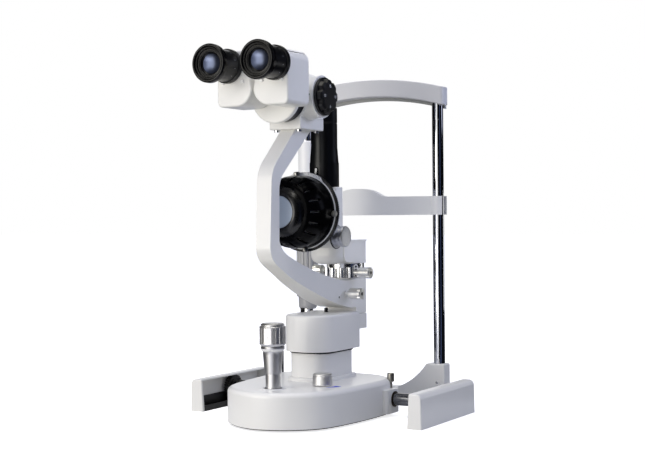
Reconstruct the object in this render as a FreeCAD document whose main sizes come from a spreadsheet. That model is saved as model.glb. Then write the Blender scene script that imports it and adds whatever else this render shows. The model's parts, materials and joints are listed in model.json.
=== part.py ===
import FreeCAD, Part
import math
import os
import re
import Sketcher
from FreeCAD import Placement, Rotation, Vector

# Slit lamp: two rails and a chin rest carry a rolling base, whose column lifts a
# microscope arm and an illumination arm that swing about one vertical pivot.
# Millimetres. +X is the examiner's right, +Y points to the patient, +Z is up.
# The origin lies in the table plane, in the middle of the rails' four table bolts.

os.makedirs("parts", exist_ok=True)
doc = FreeCAD.newDocument("SlitLamp")

# ---------------------------------------------------------------- dimensions

SIZES = {
    # rails, racks and the rolling axle
    "rail_inner": 158.0, "rail_outer": 179.0, "rail_nose": 87.5, "rail_half": 82.0, "rail_top": 45.0,
    "rail_wall": 4.2, "rail_lid": 2.5, "rail_end_wall": 4.0, "rail_draft": 2.5,
    "rack_floor": 4.2, "rack_back": 19.0, "rack_lip": 8.0, "rack_wall": 2.3,
    "axle_height": 23.5, "axle_radius": 8.5, "wheel_pitch": 18.0, "wheel_teeth": 30.0,
    "tooth_height": 0.6, "wheel_in": 162.0, "wheel_out": 170.0, "run_gap": 0.05,
    "bolt_half_x": 166.0, "bolt_half_y": 71.0, "bolt_hole": 2.75,
    # base
    "base_bottom": 4.0, "base_top": 50.0, "base_nose": -195.0, "base_tail": 46.0,
    "base_skin": 5.0, "base_round": 7.0, "ear_reach": 97.0, "ear_front": -21.0,
    "ear_back": 15.0, "ear_top": 37.0, "bush_radius": 10.5, "bush_length": 24.0,
    "brake_x": 86.5, "brake_y": 9.0, "foot_radius": 16.0, "foot_thick": 2.5,
    # joystick and dial
    "stick_y": -153.0, "stick_pivot": 40.0, "stick_radius": 9.7, "stick_hole": 12.6,
    "stick_waist": 69.6, "stick_collar": 99.9, "grip_low": 105.2, "grip_high": 134.6,
    "grip_radius": 17.2, "ring_in": 13.5, "ring_out": 18.5, "pin_radius": 3.0,
    "dial_x": 42.0, "dial_y": -99.0, "dial_radius": 13.1, "dial_top": 66.0,
    # column and elevator
    "column_y": -32.5, "column_wide": 60.0, "column_long": 81.0, "column_top": 115.0,
    "column_skin": 4.0, "flange_wide": 68.0, "flange_long": 96.0, "flange_top": 55.0,
    "housing_wide": 72.0, "housing_long": 103.0, "housing_low": 90.0,
    "housing_top": 139.0, "housing_lid": 8.0, "boss_low": 113.0, "boss_high": 134.0,
    "sweep_radius": 32.0, "screw_radius": 6.0,
    # pivot of both arms
    "pivot_y": 40.0, "pivot_radius": 9.0, "hub_half": 25.0, "hub_front": 12.0,
    "hub_back": 57.0, "hub_low": 144.0, "hub_skirt": 134.8, "hub_high": 182.8,
    "lamp_hub_low": 205.0, "lamp_hub_high": 238.0, "lock_y": -2.0, "lock_z": 164.5,
    "clamp_y": 22.0, "clamp_right": 192.2, "clamp_left": 195.0, "collar_body": 20.5,
    "collar_flange": 26.5, "collar_brim": 6.5, "test_bore": 4.0,
    # microscope arm and head
    "arm_half": 11.0, "optic_z": 427.5, "drum_y": -92.0, "drum_radius": 17.0,
    "channel_x": 20.0, "channel_radius": 7.0, "foot_half": 24.0,
    "head_front": -119.0, "head_back": -59.0, "head_low": 385.0, "head_radius": 34.0,
    "boss_radius": 27.0, "boss_reach": 42.0, "knob_radius": 25.0, "knob_reach": 53.5,
    "disc_radius": 36.0, "disc_front": -143.6,
    # prism housings and eyepieces
    "prism_front": -196.0, "prism_back": -144.0, "prism_top": 481.0,
    "prism_side": 53.0, "prism_waist": 19.3, "prism_sag": 17.0, "prism_lean": 10.5,
    "eye_x": 35.6, "eye_z": 462.0, "eye_rim": 24.4, "eye_barrel": 20.2, "eye_reach": 45.5,
    # illumination
    "lamp_z": 277.0, "bowl_radius": 48.3, "bowl_back": -79.5, "bowl_skin": 2.4,
    "ring_radius": 53.5, "ring_back": -69.4, "tower_y": -17.0,
    "tower_radius": 20.25, "tower_slim": 18.25, "tower_bore": 15.0, "tower_low": 311.0,
    "tower_high": 420.0, "upright_half": 23.0,
    "slit_y": -38.0, "slit_z": 243.5, "slit_radius": 14.2,
    # chin rest
    "post_x": 109.0, "post_y": 118.0, "post_radius": 8.0, "post_top": 438.0,
    "bar_front": 108.0, "bar_back": 128.0, "gusset_top": 60.0, "bar_half": 121.0,
    "chin_low": 272.0, "chin_high": 298.5, "chin_hump": 310.0, "tube_radius": 12.5,
    "tube_low": 192.0, "tube_high": 385.0, "sleeve_low": 150.3, "sleeve_high": 223.0,
    "sleeve_radius": 16.5, "thrust_low": 132.0,
}

sheet = doc.addObject("Spreadsheet::Sheet", "sizes")
for row, (alias, value) in enumerate(SIZES.items(), start=1):
    sheet.set(f"A{row}", alias)
    sheet.set(f"B{row}", str(value))
    sheet.setAlias(f"B{row}", alias)
doc.recompute()

UP = Vector(0, 0, 1)
RIGHT = Vector(1, 0, 0)
LEFT = Vector(-1, 0, 0)
TO_EXAMINER = Vector(0, -1, 0)
nodes = {}


def mm(formula):
    """The value of a formula in the sheet's aliases, in millimetres."""
    names = {alias: float(sheet.get(alias)) for alias in SIZES}
    total = re.sub(r"[a-z_]+", lambda word: repr(names[word.group(0)]), str(formula))
    return FreeCAD.Units.Quantity(total).Value


def bind(thing, prop, formula):
    """Drive a property of an object by a formula in the sheet's aliases."""
    linked = re.sub(r"[a-z_]+", lambda word: "sizes." + word.group(0), str(formula))
    thing.setExpression(prop, linked)


def place(thing, at, axis=UP):
    """Put an object's own Z axis along axis, at a point given by three formulas."""
    base = Vector(*[mm(formula) for formula in at])
    thing.Placement = Placement(base, Rotation(UP, axis))
    for letter, formula in zip("xyz", at):
        bind(thing, f"Placement.Base.{letter}", formula)


def keep(name, thing):
    """Name a finished piece. Its label is the name of its file."""
    thing.Label = name
    nodes[name] = thing
    return thing


# ---------------------------------------------------------------- pieces as features

def outline_sketch(body, role, outline):
    """A closed outline of straight lines, each corner driven by two formulas."""
    sketch = body.newObject("Sketcher::SketchObject", body.Name + "_outline")
    plane = [item for item in body.Origin.OriginFeatures if item.Role == role][0]
    sketch.AttachmentSupport = (plane, "")
    sketch.MapMode = "FlatFace"
    corners = [Vector(mm(u), mm(v), 0) for u, v in outline]
    count = len(corners)
    for index, corner in enumerate(corners):
        sketch.addGeometry(Part.LineSegment(corner, corners[(index + 1) % count]), False)
    for index in range(count):
        sketch.addConstraint(Sketcher.Constraint("Coincident", index, 2, (index + 1) % count, 1))
    for index, (u, v) in enumerate(outline):
        for kind, formula, value in (("DistanceX", u, corners[index].x), ("DistanceY", v, corners[index].y)):
            number = sketch.addConstraint(Sketcher.Constraint(kind, -1, 1, index, 1, value))
            bind(sketch, f"Constraints[{number}]", formula)
    return sketch


def turned(name, outline, at=("0", "0", "0"), axis=UP):
    """A turned piece: (radius, height) corners revolved about the piece's own Z axis."""
    body = doc.addObject("PartDesign::Body", name)
    sketch = outline_sketch(body, "XZ_Plane", outline)
    turn = body.newObject("PartDesign::Revolution", name + "_turn")
    turn.Profile = sketch
    turn.ReferenceAxis = (sketch, ["V_Axis"])
    turn.Angle = 360
    place(body, at, axis)
    doc.recompute()
    return body


def padded(name, role, outline, length, at=("0", "0", "0")):
    """A straight outline padded by length, half to each side of its plane."""
    body = doc.addObject("PartDesign::Body", name)
    sketch = outline_sketch(body, role, outline)
    pad = body.newObject("PartDesign::Pad", name + "_pad")
    pad.Profile = sketch
    pad.SideType = "Symmetric"
    pad.Length = mm(length)
    bind(pad, "Length", length)
    place(body, at)
    doc.recompute()
    return body


def round_off(body, radius, wanted):
    """Fillet the edges of a body's last feature that pass the test."""
    last = body.Tip
    names = [f"Edge{number}" for number, edge in enumerate(last.Shape.Edges, start=1) if wanted(edge)]
    fillet = body.newObject("PartDesign::Fillet", body.Name + "_round")
    fillet.Base = (last, names)
    fillet.Radius = mm(radius)
    bind(fillet, "Radius", radius)
    doc.recompute()
    return body


def cylinder(name, radius, length, at, axis=UP):
    thing = doc.addObject("Part::Cylinder", name)
    bind(thing, "Radius", radius)
    bind(thing, "Height", length)
    place(thing, at, axis)
    return thing


def box(name, low, high):
    """A box between two corners, each given by three formulas."""
    thing = doc.addObject("Part::Box", name)
    for prop, start, end in zip(("Length", "Width", "Height"), low, high):
        bind(thing, prop, f"({end}) - ({start})")
    place(thing, low)
    return thing


def fused(name, *things):
    joined = doc.addObject("Part::MultiFuse", name)
    joined.Shapes = list(things)
    joined.Refine = True
    doc.recompute()
    return joined


def cut(name, base, *tools):
    """Take the tools out of the base."""
    result = doc.addObject("Part::Cut", name)
    result.Base = base
    result.Tool = tools[0] if len(tools) == 1 else fused(name + "_tools", *tools)
    result.Refine = True
    doc.recompute()
    return result


def plain(name, shape):
    """A piece whose shape is worked out below."""
    thing = doc.addObject("Part::Feature", name)
    thing.Shape = shape
    return thing


# ---------------------------------------------------------------- shapes

def prism(wire, direction):
    return Part.Face(wire).extrude(direction)


def polygon(points):
    return Part.makePolygon(points + points[:1])


def rounded_plan(half_wide, front, back, front_round, back_round, low):
    """A rounded rectangle in plan, symmetric in X, at height low."""
    corners = [(half_wide, front, front_round), (half_wide, back, back_round),
               (-half_wide, back, back_round), (-half_wide, front, front_round)]
    return rounded_wire([(Vector(x, y, low), radius) for x, y, radius in corners])


def rounded_wire(corners):
    """A closed wire of straight runs, with an arc of the given radius at each corner."""
    count = len(corners)
    arcs = []
    for index, (point, radius) in enumerate(corners):
        back = (corners[index - 1][0] - point).normalize()
        ahead = (corners[(index + 1) % count][0] - point).normalize()
        half = back.getAngle(ahead) / 2
        reach = radius / math.tan(half)
        centre = point + (back + ahead).normalize() * (radius / math.sin(half))
        middle = centre + (point - centre).normalize() * radius
        arcs.append((point + back * reach, middle, point + ahead * reach, radius))
    edges = []
    for index, (start, middle, end, radius) in enumerate(arcs):
        following = arcs[(index + 1) % count][0]
        if radius > 0:
            edges.append(Part.Arc(start, middle, end).toShape())
        if (following - end).Length > 1e-6:
            edges.append(Part.LineSegment(end, following).toShape())
    return Part.Wire(edges)


def smooth_edge(points):
    curve = Part.BSplineCurve()
    curve.interpolate(points)
    return curve.toShape()


def rod(radius, start, end):
    return Part.makeCylinder(radius, (end - start).Length, start, end - start)


def block(x0, x1, y0, y1, z0, z1):
    return Part.makeBox(x1 - x0, y1 - y0, z1 - z0, Vector(x0, y0, z0))


def along(edge, direction):
    """Whether an edge is a straight line along a direction."""
    if not isinstance(edge.Curve, Part.Line):
        return False
    return abs(edge.Curve.Direction.normalize().dot(direction)) > 0.999


def round_edges(shape, radius, wanted):
    return shape.makeFillet(radius, [edge for edge in shape.Edges if wanted(edge)])


def flutes(radius, depth, count, low, high, centre):
    """Round rods standing about an axis, to cut grip flutes with."""
    rods = []
    for index in range(count):
        angle = 2 * math.pi * index / count
        foot = centre + Vector(math.cos(angle), math.sin(angle), 0) * radius + UP * low
        rods.append(Part.makeCylinder(depth, high - low, foot))
    return Part.makeCompound(rods)


SIDES = (("left", -1), ("right", 1))

# ---------------------------------------------------------------- rails and racks

def rail_cover(name, side):
    """A white cover, open towards the base and closed at both ends."""
    outline = [(f"{side} * rail_inner", "0"), (f"{side} * rail_outer", "0"),
               (f"{side} * (rail_outer - 1)", "rail_top"),
               (f"{side} * (rail_inner + rail_draft)", "rail_top")]
    shell = padded(name + "_blank", "XZ_Plane", outline, "rail_nose + rail_half",
                   ("0", "(rail_half - rail_nose) / 2", "0"))
    outer = mm("rail_outer") - 2
    end = mm("(rail_nose + rail_half) / 2") - 0.1
    round_off(shell, "7", lambda edge: abs(edge.CenterOfMass.x) > outer and (
        edge.CenterOfMass.z > 1 and abs(edge.CenterOfMass.y) < 1))
    round_off(shell, "2", lambda edge: edge.CenterOfMass.z > 1 and (
        abs(edge.CenterOfMass.y) > end or abs(edge.CenterOfMass.x) < outer - 12))
    reach = sorted([f"{side} * (rail_inner - 2)", f"{side} * (rail_outer - rail_wall)"], key=mm)
    inside = box(name + "_channel", (reach[0], "-rail_nose + rail_end_wall", "-1"),
                 (reach[1], "rail_half - rail_end_wall", "rail_top - rail_lid"))
    keep(name, cut(name + "_cut", shell, inside))


def gear_rack(name, side):
    """A trough with a toothed floor, which the axle's wheel rolls in."""
    inner = mm("rail_inner") + 0.6
    outer = mm("rail_outer - rail_wall")
    wall = mm("rack_wall")
    floor = mm("rack_floor")
    start = -mm("rail_nose - rail_end_wall")
    run = Vector(0, mm("rail_half - rail_end_wall") - start, 0)
    section = [(inner, 0), (outer, 0), (outer, mm("rack_back")), (outer - wall, mm("rack_back")),
               (outer - wall, floor), (inner + wall, floor), (inner + wall, mm("rack_lip")),
               (inner, mm("rack_lip"))]
    trough = prism(polygon([Vector(side * x, start, z) for x, z in section]), run)
    pitch = 2 * math.pi * mm("wheel_pitch") / mm("wheel_teeth")
    pitch_line = mm("axle_height - wheel_pitch")
    height = mm("tooth_height")
    count = int(60 / pitch)
    line = [Vector(0, -(count + 0.5) * pitch, floor - 1)]
    for index in range(-count, count + 1):
        middle = (index + 0.5) * pitch
        for offset, z in ((-0.28, pitch_line - 2 * height), (-0.12, pitch_line + height),
                          (0.12, pitch_line + height), (0.28, pitch_line - 2 * height)):
            line.append(Vector(0, middle + offset * pitch, z))
    line.append(Vector(0, (count + 1.5) * pitch, floor - 1))
    teeth = prism(polygon(line), Vector(mm("wheel_out - wheel_in"), 0, 0))
    start = mm("wheel_in") if side > 0 else -mm("wheel_out")
    teeth.translate(Vector(start, 0, 0))
    shape = trough.fuse(teeth)
    for y in (-mm("bolt_half_y"), mm("bolt_half_y")):
        foot = Vector(side * mm("bolt_half_x"), y, -1)
        shape = shape.cut(rod(mm("bolt_hole"), foot, foot + UP * 6))
    keep(name, plain(name, shape.removeSplitter()))


def toothed_wheel(name, side):
    """A black wheel whose teeth run in the rack."""
    count = int(mm("wheel_teeth"))
    tip = mm("wheel_pitch + tooth_height")
    root = mm("wheel_pitch - 1.4 * tooth_height")
    points = []
    for index in range(count):
        for offset, radius in ((-0.30, root), (-0.12, tip), (0.12, tip), (0.30, root)):
            angle = 2 * math.pi * (index + offset) / count - math.pi / 2
            points.append(Vector(0, radius * math.cos(angle), radius * math.sin(angle)))
    wide = mm("wheel_out - wheel_in")
    wheel = prism(polygon(points), RIGHT * wide)
    bore = rod(mm("axle_radius"), Vector(-1, 0, 0), Vector(wide + 1, 0, 0))
    dish = rod(14.5, Vector(0, 0, 0), Vector(1.5, 0, 0)).cut(rod(11.5, Vector(-1, 0, 0), Vector(3, 0, 0)))
    wheel = wheel.cut(bore)
    for start in (-0.01, wide - 1.49):
        ring = dish.copy()
        ring.translate(Vector(start, 0, 0))
        wheel = wheel.cut(ring)
    thing = plain(name, wheel)
    start = "wheel_in" if side > 0 else "-wheel_out"
    thing.Placement = Placement(Vector(mm(start), 0, mm("axle_height")), Rotation())
    keep(name, thing)


for word, side in SIDES:
    rail_cover(f"rail_cover_{word}", side)
    gear_rack(f"gear_rack_{word}", side)
    toothed_wheel(f"toothed_wheel_{word}", side)

# The polished cross axle, turned down at both ends to carry the wheels.
keep("cross_axle", turned("cross_axle", [
    ("0", "-wheel_out - 1"), ("axle_radius", "-wheel_out - 1"),
    ("axle_radius", "wheel_out + 1"), ("0", "wheel_out + 1")],
    ("0", "0", "axle_height"), RIGHT))

# Black guide rings, which run along the mouths of the rails and don't turn.
def axle_guides():
    rings = []
    for _, side in SIDES:
        near = Vector(side * 148, 0, mm("axle_height"))
        far = Vector(side * 156, 0, mm("axle_height"))
        ring = rod(mm("axle_radius + 3"), near, far)
        rings.append(ring.cut(rod(mm("axle_radius + run_gap"), near, far)))
    keep("axle_guides", plain("axle_guides", Part.makeCompound(rings)))


axle_guides()

# ---------------------------------------------------------------- base

def base_plan(shrink, low):
    """The egg-shaped plan of the base, drawn in by shrink, as a face at height low."""
    middle = mm("(base_nose + base_tail) / 2")
    wide = 1 - shrink / 90
    long = 1 - shrink / mm("(base_tail - base_nose) / 2")
    half = [(0, mm("base_nose")), (27, -189), (51, -175), (69.5, -155), (80.5, -122), (87, -76), (90, -21),
            (86, 10), (64, 35), (0, mm("base_tail"))]
    half = [(x * wide, middle + (y - middle) * long) for x, y in half]
    points = [Vector(x, y, low) for x, y in half]
    points += [Vector(-x, y, low) for x, y in reversed(half[1:-1])]
    curve = Part.BSplineCurve()
    curve.interpolate(points, PeriodicFlag=True)
    return Part.Face(Part.Wire([curve.toShape()]))


def base_casting():
    """The hollow white casting, with an ear on each side for the cross axle."""
    low = mm("base_bottom")
    high = mm("base_top")
    skin = mm("base_skin")
    shape = base_plan(0, low).extrude(UP * (high - low))
    shape = round_edges(shape, mm("base_round"), lambda edge: edge.CenterOfMass.z > high - 0.1)
    shape = shape.cut(base_plan(skin, low - 1).extrude(UP * (high - low - skin + 1)))
    for _, side in SIDES:
        reach = sorted([side * 66, side * mm("ear_reach")])
        ear = block(reach[0], reach[1], mm("ear_front"), mm("ear_back"), 5, mm("ear_top"))
        shape = shape.fuse(round_edges(ear, 5, lambda edge: along(edge, UP)))
    axle = Vector(mm("ear_reach") + 1, 0, mm("axle_height"))
    shape = shape.cut(rod(mm("bush_radius"), Vector(-axle.x, 0, axle.z), axle))
    stick = Vector(0, mm("stick_y"), 0)
    shape = shape.cut(rod(mm("stick_hole"), stick, stick + UP * 60))
    pivot = mm("stick_pivot")
    # Room under the deck for the gimbal ring to tilt.
    shape = shape.cut(rod(mm("ring_out + 2"), stick + UP * pivot, stick + UP * (high - 3)))
    for _, side in SIDES:
        reach = sorted([side * 19.2, side * 25.0])
        shape = shape.fuse(block(reach[0], reach[1], stick.y - 5, stick.y + 5, pivot - 6, high - 2))
    pin = Vector(30, stick.y, pivot)
    shape = shape.cut(rod(mm("pin_radius + run_gap"), Vector(-30, pin.y, pin.z), pin))
    dial = Vector(mm("dial_x"), mm("dial_y"), 30)
    shape = shape.cut(rod(4 + mm("run_gap"), dial, dial + UP * 30))
    screw = Vector(0, mm("column_y"), 30)
    shape = shape.cut(rod(4 + mm("run_gap"), screw, screw + UP * 30))
    brake = Vector(mm("brake_x"), mm("brake_y"), 20)
    shape = shape.cut(rod(2.25, brake, brake + UP * 30))
    shape = shape.cut(rod(5.4, brake + UP * 22, brake + UP * 40))
    socket = Vector(0, mm("base_tail") - 9, 27)
    shape = shape.cut(rod(7, socket, socket + Vector(0, 20, 0)))
    keep("base_casting", plain("base_casting", shape.removeSplitter()))
    lid = base_plan(2, low - 1.5).extrude(UP * 1.5)
    keep("base_plate", plain("base_plate", lid))


base_casting()


def shaft_bushes():
    """Two bronze bushes in the ears, which the base slides and the axle turns in."""
    bushes = []
    for _, side in SIDES:
        far = Vector(side * (mm("ear_reach") + 1.2), 0, mm("axle_height"))
        near = Vector(side * (mm("ear_reach") - mm("bush_length")), 0, mm("axle_height"))
        bush = rod(mm("bush_radius"), near, far)
        bushes.append(bush.cut(rod(mm("axle_radius + run_gap"), near, far)))
    keep("shaft_bushes", plain("shaft_bushes", Part.makeCompound(bushes)))


shaft_bushes()
keep("glide_foot", turned("glide_foot", [
    ("0", "0"), ("foot_radius - 1.5", "0"), ("foot_radius", "1"), ("foot_radius", "foot_thick"),
    ("0", "foot_thick")], ("0", "stick_y", "0")))
keep("power_socket", turned("power_socket", [
    ("0", "0"), ("7", "0"), ("7", "9.2"), ("9", "9.2"), ("9", "11"), ("4", "11"), ("4", "3"), ("0", "3")],
    ("0", "base_tail - 9", "27"), Vector(0, 1, 0)))
keep("brake_screw", turned("brake_screw", [
    ("0", "34.3"), ("2.2", "34.3"), ("2.2", "44.6"), ("4.3", "44.6"), ("4.9", "45.4"),
    ("4.9", "56"), ("4", "57"), ("0", "57")], ("brake_x", "brake_y", "0")))
keep("brightness_dial", turned("brightness_dial", [
    ("0", "40"), ("4", "40"), ("4", "base_top + 0.6"), ("dial_radius - 0.6", "base_top + 0.6"),
    ("dial_radius", "base_top + 1.4"), ("dial_radius", "dial_top - 1.4"),
    ("dial_radius - 1.2", "dial_top"), ("0", "dial_top")], ("dial_x", "dial_y", "0")))

# ---------------------------------------------------------------- joystick

def joystick():
    """A lever in a gimbal ring, with a fluted grip that turns to raise the column."""
    centre = Vector(0, mm("stick_y"), mm("stick_pivot"))
    ring_in = mm("ring_in")
    ring_out = mm("ring_out")
    pin = mm("pin_radius")
    ring = rod(ring_out, centre - UP * 3.6, centre + UP * 3.6)
    for _, side in SIDES:
        ring = ring.fuse(rod(pin, centre + RIGHT * side * (ring_in + 2), centre + RIGHT * side * 24.5))
    ring = ring.cut(rod(ring_in, centre - UP * 5, centre + UP * 5))
    across = Vector(0, 30, 0)
    ring = ring.cut(rod(pin + mm("run_gap"), centre - across, centre + across))
    keep("joystick_gimbal", plain("joystick_gimbal", ring))

    body = turned("joystick_turned", [
        ("0", "-28"), ("3", "-27"), ("6", "-22"), ("3", "-17"), ("5", "-14"), ("stick_radius", "-6"),
        ("stick_radius", "stick_waist - stick_pivot"),
        ("stick_radius + 1.2", "stick_waist - stick_pivot + 0.5"),
        ("stick_radius + 3.3", "stick_collar - stick_pivot - 1.8"),
        ("stick_radius + 5.6", "stick_collar - stick_pivot + 1.5"),
        ("stick_radius + 5.6", "grip_low - stick_pivot - 0.5"),
        ("5", "grip_low - stick_pivot - 0.5"), ("5", "grip_high - stick_pivot - 6"),
        ("0", "grip_high - stick_pivot - 6")], ("0", "stick_y", "stick_pivot"))
    pins = cylinder("joystick_pins", "pin_radius", "2 * ring_out - 1",
                    ("0", "stick_y - ring_out + 0.5", "stick_pivot"), Vector(0, 1, 0))
    keep("joystick_lever", fused("joystick_lever", body, pins))

    grip = turned("grip_turned", [
        ("5 + run_gap", "grip_low"), ("grip_radius - 1.2", "grip_low"), ("grip_radius", "grip_low + 1.2"),
        ("grip_radius", "grip_high - 4.5"), ("grip_radius - 2.6", "grip_high - 1.6"),
        ("grip_radius - 3.2", "grip_high"), ("0", "grip_high"), ("0", "grip_high - 5.5"),
        ("5 + run_gap", "grip_high - 5.5")], ("0", "stick_y", "0"))
    grooves = plain("grip_grooves", flutes(mm("grip_radius + 0.9"), 1.6, 24, mm("grip_low - 1"),
                                           mm("grip_high - 3.5"), Vector(0, mm("stick_y"), 0)))
    keep("joystick_grip", cut("joystick_grip", grip, grooves))


joystick()

# ---------------------------------------------------------------- column and elevator

def column():
    """The fixed hollow column, its lift screw and the housing that rides on it."""
    middle = mm("column_y")
    low = mm("base_top")
    step = mm("flange_top")
    top = mm("column_top")
    wide = mm("column_wide") / 2
    long = mm("column_long") / 2
    foot_wide = mm("flange_wide") / 2
    foot_long = mm("flange_long") / 2
    skin = mm("column_skin")
    foot = prism(rounded_plan(foot_wide, middle - foot_long, middle + foot_long, 28, 12, low),
                 UP * (step - low))
    foot = round_edges(foot, 2, lambda edge: edge.CenterOfMass.z > step - 0.1)
    nose = 19
    shape = prism(rounded_plan(wide, middle - long, middle + long, nose, 8, step), UP * (top - step))
    shape = shape.fuse(foot)
    shape = shape.cut(prism(rounded_plan(
        wide - skin, middle - long + skin, middle + long - skin, nose - skin, 4, low - 1),
        UP * (top - low + 2)))
    keep("column_sleeve", plain("column_sleeve", shape.removeSplitter()))

    keep("lift_screw", turned("lift_screw", [
        ("0", "40"), ("4", "40"), ("4", "base_top + 0.4"), ("9", "base_top + 0.4"), ("9", "base_top + 4"),
        ("screw_radius", "base_top + 4"), ("screw_radius", "112"), ("0", "112")], ("0", "column_y", "0")))

    wide = mm("housing_wide") / 2
    long = mm("housing_long") / 2
    low = mm("housing_low")
    top = mm("housing_top")
    lid = mm("housing_lid")
    half = mm("hub_half")
    pivot = Vector(0, mm("pivot_y"), 0)
    shape = prism(rounded_plan(wide, middle - long, middle + long, 30, 6, low), UP * (top - low))
    shape = round_edges(shape, 3.5, lambda edge: edge.CenterOfMass.z > top - 0.1)
    boss_low = mm("boss_low")
    boss_high = mm("boss_high")
    rear = block(-half, half, middle + long - 8, mm("hub_back") + 1, boss_low, boss_high)
    rear = round_edges(rear, 3, lambda edge: along(edge, UP) and edge.CenterOfMass.y > 50)
    shape = shape.fuse(rear)
    gap = 0.5
    shape = shape.cut(prism(rounded_plan(
        mm("column_wide") / 2 + gap, middle - mm("column_long") / 2 - gap,
        middle + mm("column_long") / 2 + gap, nose + gap, 8.5, low - 1), UP * (top - lid - low + 1)))
    centre = Vector(0, middle, 0)
    nut = rod(11, centre + UP * 98, centre + UP * (top - 1))
    nut = nut.cut(rod(mm("screw_radius + run_gap"), centre + UP * 90, centre + UP * (top - lid)))
    shape = shape.fuse(nut)
    shape = shape.cut(rod(mm("sweep_radius"), pivot + UP * boss_high, pivot + UP * (top + 1)))
    shape = shape.cut(rod(mm("pivot_radius"), pivot + UP * boss_low, pivot + UP * (top + 1)))
    keep("elevating_housing", plain("elevating_housing", shape.removeSplitter()))


column()
keep("pivot_post", turned("pivot_post", [
    ("0", "boss_low"), ("pivot_radius", "boss_low"), ("pivot_radius", "boss_high"), ("15", "boss_high"),
    ("15", "hub_skirt - 0.3"), ("pivot_radius", "hub_skirt - 0.3"), ("pivot_radius", "lamp_hub_high - 2"),
    ("pivot_radius - 1", "lamp_hub_high - 1"), ("test_bore", "lamp_hub_high - 1"),
    ("test_bore", "lamp_hub_high - 21"), ("0", "lamp_hub_high - 21")], ("0", "pivot_y", "0")))

# ---------------------------------------------------------------- microscope arm

def microscope_arm():
    """The C-shaped arm: one casting from the hub round to the shelf under the head."""
    inner = [Vector(0, y, z) for y, z in (
        (-152, 240), (-144, 228.5), (-129, 219.5), (-109, 211), (-66, 196.3), (-38, 188.9),
        (-14, 183.5), (12, mm("hub_high")))]
    outer = [Vector(0, y, z) for y, z in (
        (-174, 235), (-166.5, 215), (-150, 204.5), (-129, 193.2), (-88, 175), (-44, 158.5),
        (-8, 148), (12, mm("hub_low")))]
    curve_in = smooth_edge(inner)
    curve_out = smooth_edge(outer)
    foot_y = mm("head_front")
    top = mm("head_low")
    chain = [Vector(0, -174, 235), Vector(0, -169, 330), Vector(0, foot_y + 8, top),
             Vector(0, foot_y + 47, top), Vector(0, -151, 318), Vector(0, -152, 240)]
    rounds = [0, 40, 0, 0, 30, 0]
    straight = []
    start = chain[0]
    for index in range(1, len(chain) - 1):
        point = chain[index]
        radius = rounds[index]
        if radius == 0:
            straight.append(Part.LineSegment(start, point).toShape())
            start = point
            continue
        back = (chain[index - 1] - point).normalize()
        ahead = (chain[index + 1] - point).normalize()
        half = back.getAngle(ahead) / 2
        reach = radius / math.tan(half)
        middle = point + (back + ahead).normalize() * (radius / math.sin(half) - radius)
        straight.append(Part.LineSegment(start, point + back * reach).toShape())
        straight.append(Part.Arc(point + back * reach, middle, point + ahead * reach).toShape())
        start = point + ahead * reach
    straight.append(Part.LineSegment(start, chain[-1]).toShape())
    rear = mm("hub_front")
    closing = Part.LineSegment(inner[-1], outer[-1]).toShape()
    edges = Part.__sortEdges__(straight + [curve_in, curve_out, closing])
    half = mm("hub_half")
    slim = mm("arm_half")
    side_view = prism(Part.Wire(edges), RIGHT * (2 * half))
    side_view.translate(LEFT * half)
    plan = polygon([Vector(x, y, 100) for x, y in (
        (slim, -200), (slim, -130), (half, rear + 1), (-half, rear + 1), (-slim, -130), (-slim, -200))])
    keep_in = prism(plan, UP * 150).fuse(block(-slim, slim, -200, -60, 249, 400))
    shape = side_view.common(keep_in).removeSplitter()
    hub = block(-half, half, rear, mm("hub_back"), mm("hub_low"), mm("hub_high"))
    skirt = block(-half, half, 26, mm("hub_back"), mm("hub_skirt"), mm("hub_low") + 1)
    hub = hub.fuse(skirt).removeSplitter()
    hub = round_edges(hub, 3, lambda edge: along(edge, UP) and edge.CenterOfMass.y > 40)
    shape = shape.fuse(hub).removeSplitter()
    pivot = Vector(0, mm("pivot_y"), 0)
    high = mm("hub_high")
    ring = rod(mm("collar_body") + 4, pivot + UP * (high - 1), pivot + UP * (high + 2))
    shape = shape.fuse(ring.common(block(-half, half, 0, mm("hub_back"), high - 2, high + 3)))
    shape = shape.cut(rod(mm("pivot_radius + run_gap"), pivot + UP * 100, pivot + UP * 250))
    lock = Vector(10, mm("lock_y"), mm("lock_z"))
    shape = shape.cut(rod(2.55, lock, lock + RIGHT * 20))
    keep("microscope_arm", plain("microscope_arm", shape.removeSplitter()))


microscope_arm()

def lobed_knob(name, at, axis, head_start, length, radius=8.0, lobes=6):
    """A lock knob: a thin stem, a plain barrel and a lobed end."""
    knob = turned(name + "_turned", [
        ("0", "-10"), ("2.5", "-10"), ("2.5", "0.4"), ("3.4", "0.4"), ("3.4", head_start),
        (f"{radius} - 1", head_start), (f"{radius} - 0.4", f"{head_start} + 0.8"),
        (f"{radius} - 0.4", f"{head_start} + {length} - 6"), (f"{radius}", f"{head_start} + {length} - 5.4"),
        (f"{radius}", f"{head_start} + {length} - 1"), (f"{radius} - 1", f"{head_start} + {length}"),
        ("0", f"{head_start} + {length}")], at, axis)
    end = mm(head_start) + length
    scoops = flutes(radius + 1.7, 2.6, lobes, end - 5.2, end + 1, Vector())
    cutter = plain(name + "_scoops", scoops)
    cutter.Placement = knob.Placement
    keep(name, cut(name, knob, cutter))


lobed_knob("lock_knob_lower", ("hub_half - 1.3", "lock_y", "lock_z"), RIGHT, "6.5", 19, 7.8)
lobed_knob("lock_knob_upper", ("24.6", "clamp_y", "clamp_right"), RIGHT, "9", 17)
lobed_knob("lock_knob_left", ("-24.6", "clamp_y", "clamp_left"), LEFT, "2", 14)

# ---------------------------------------------------------------- microscope head

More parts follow.
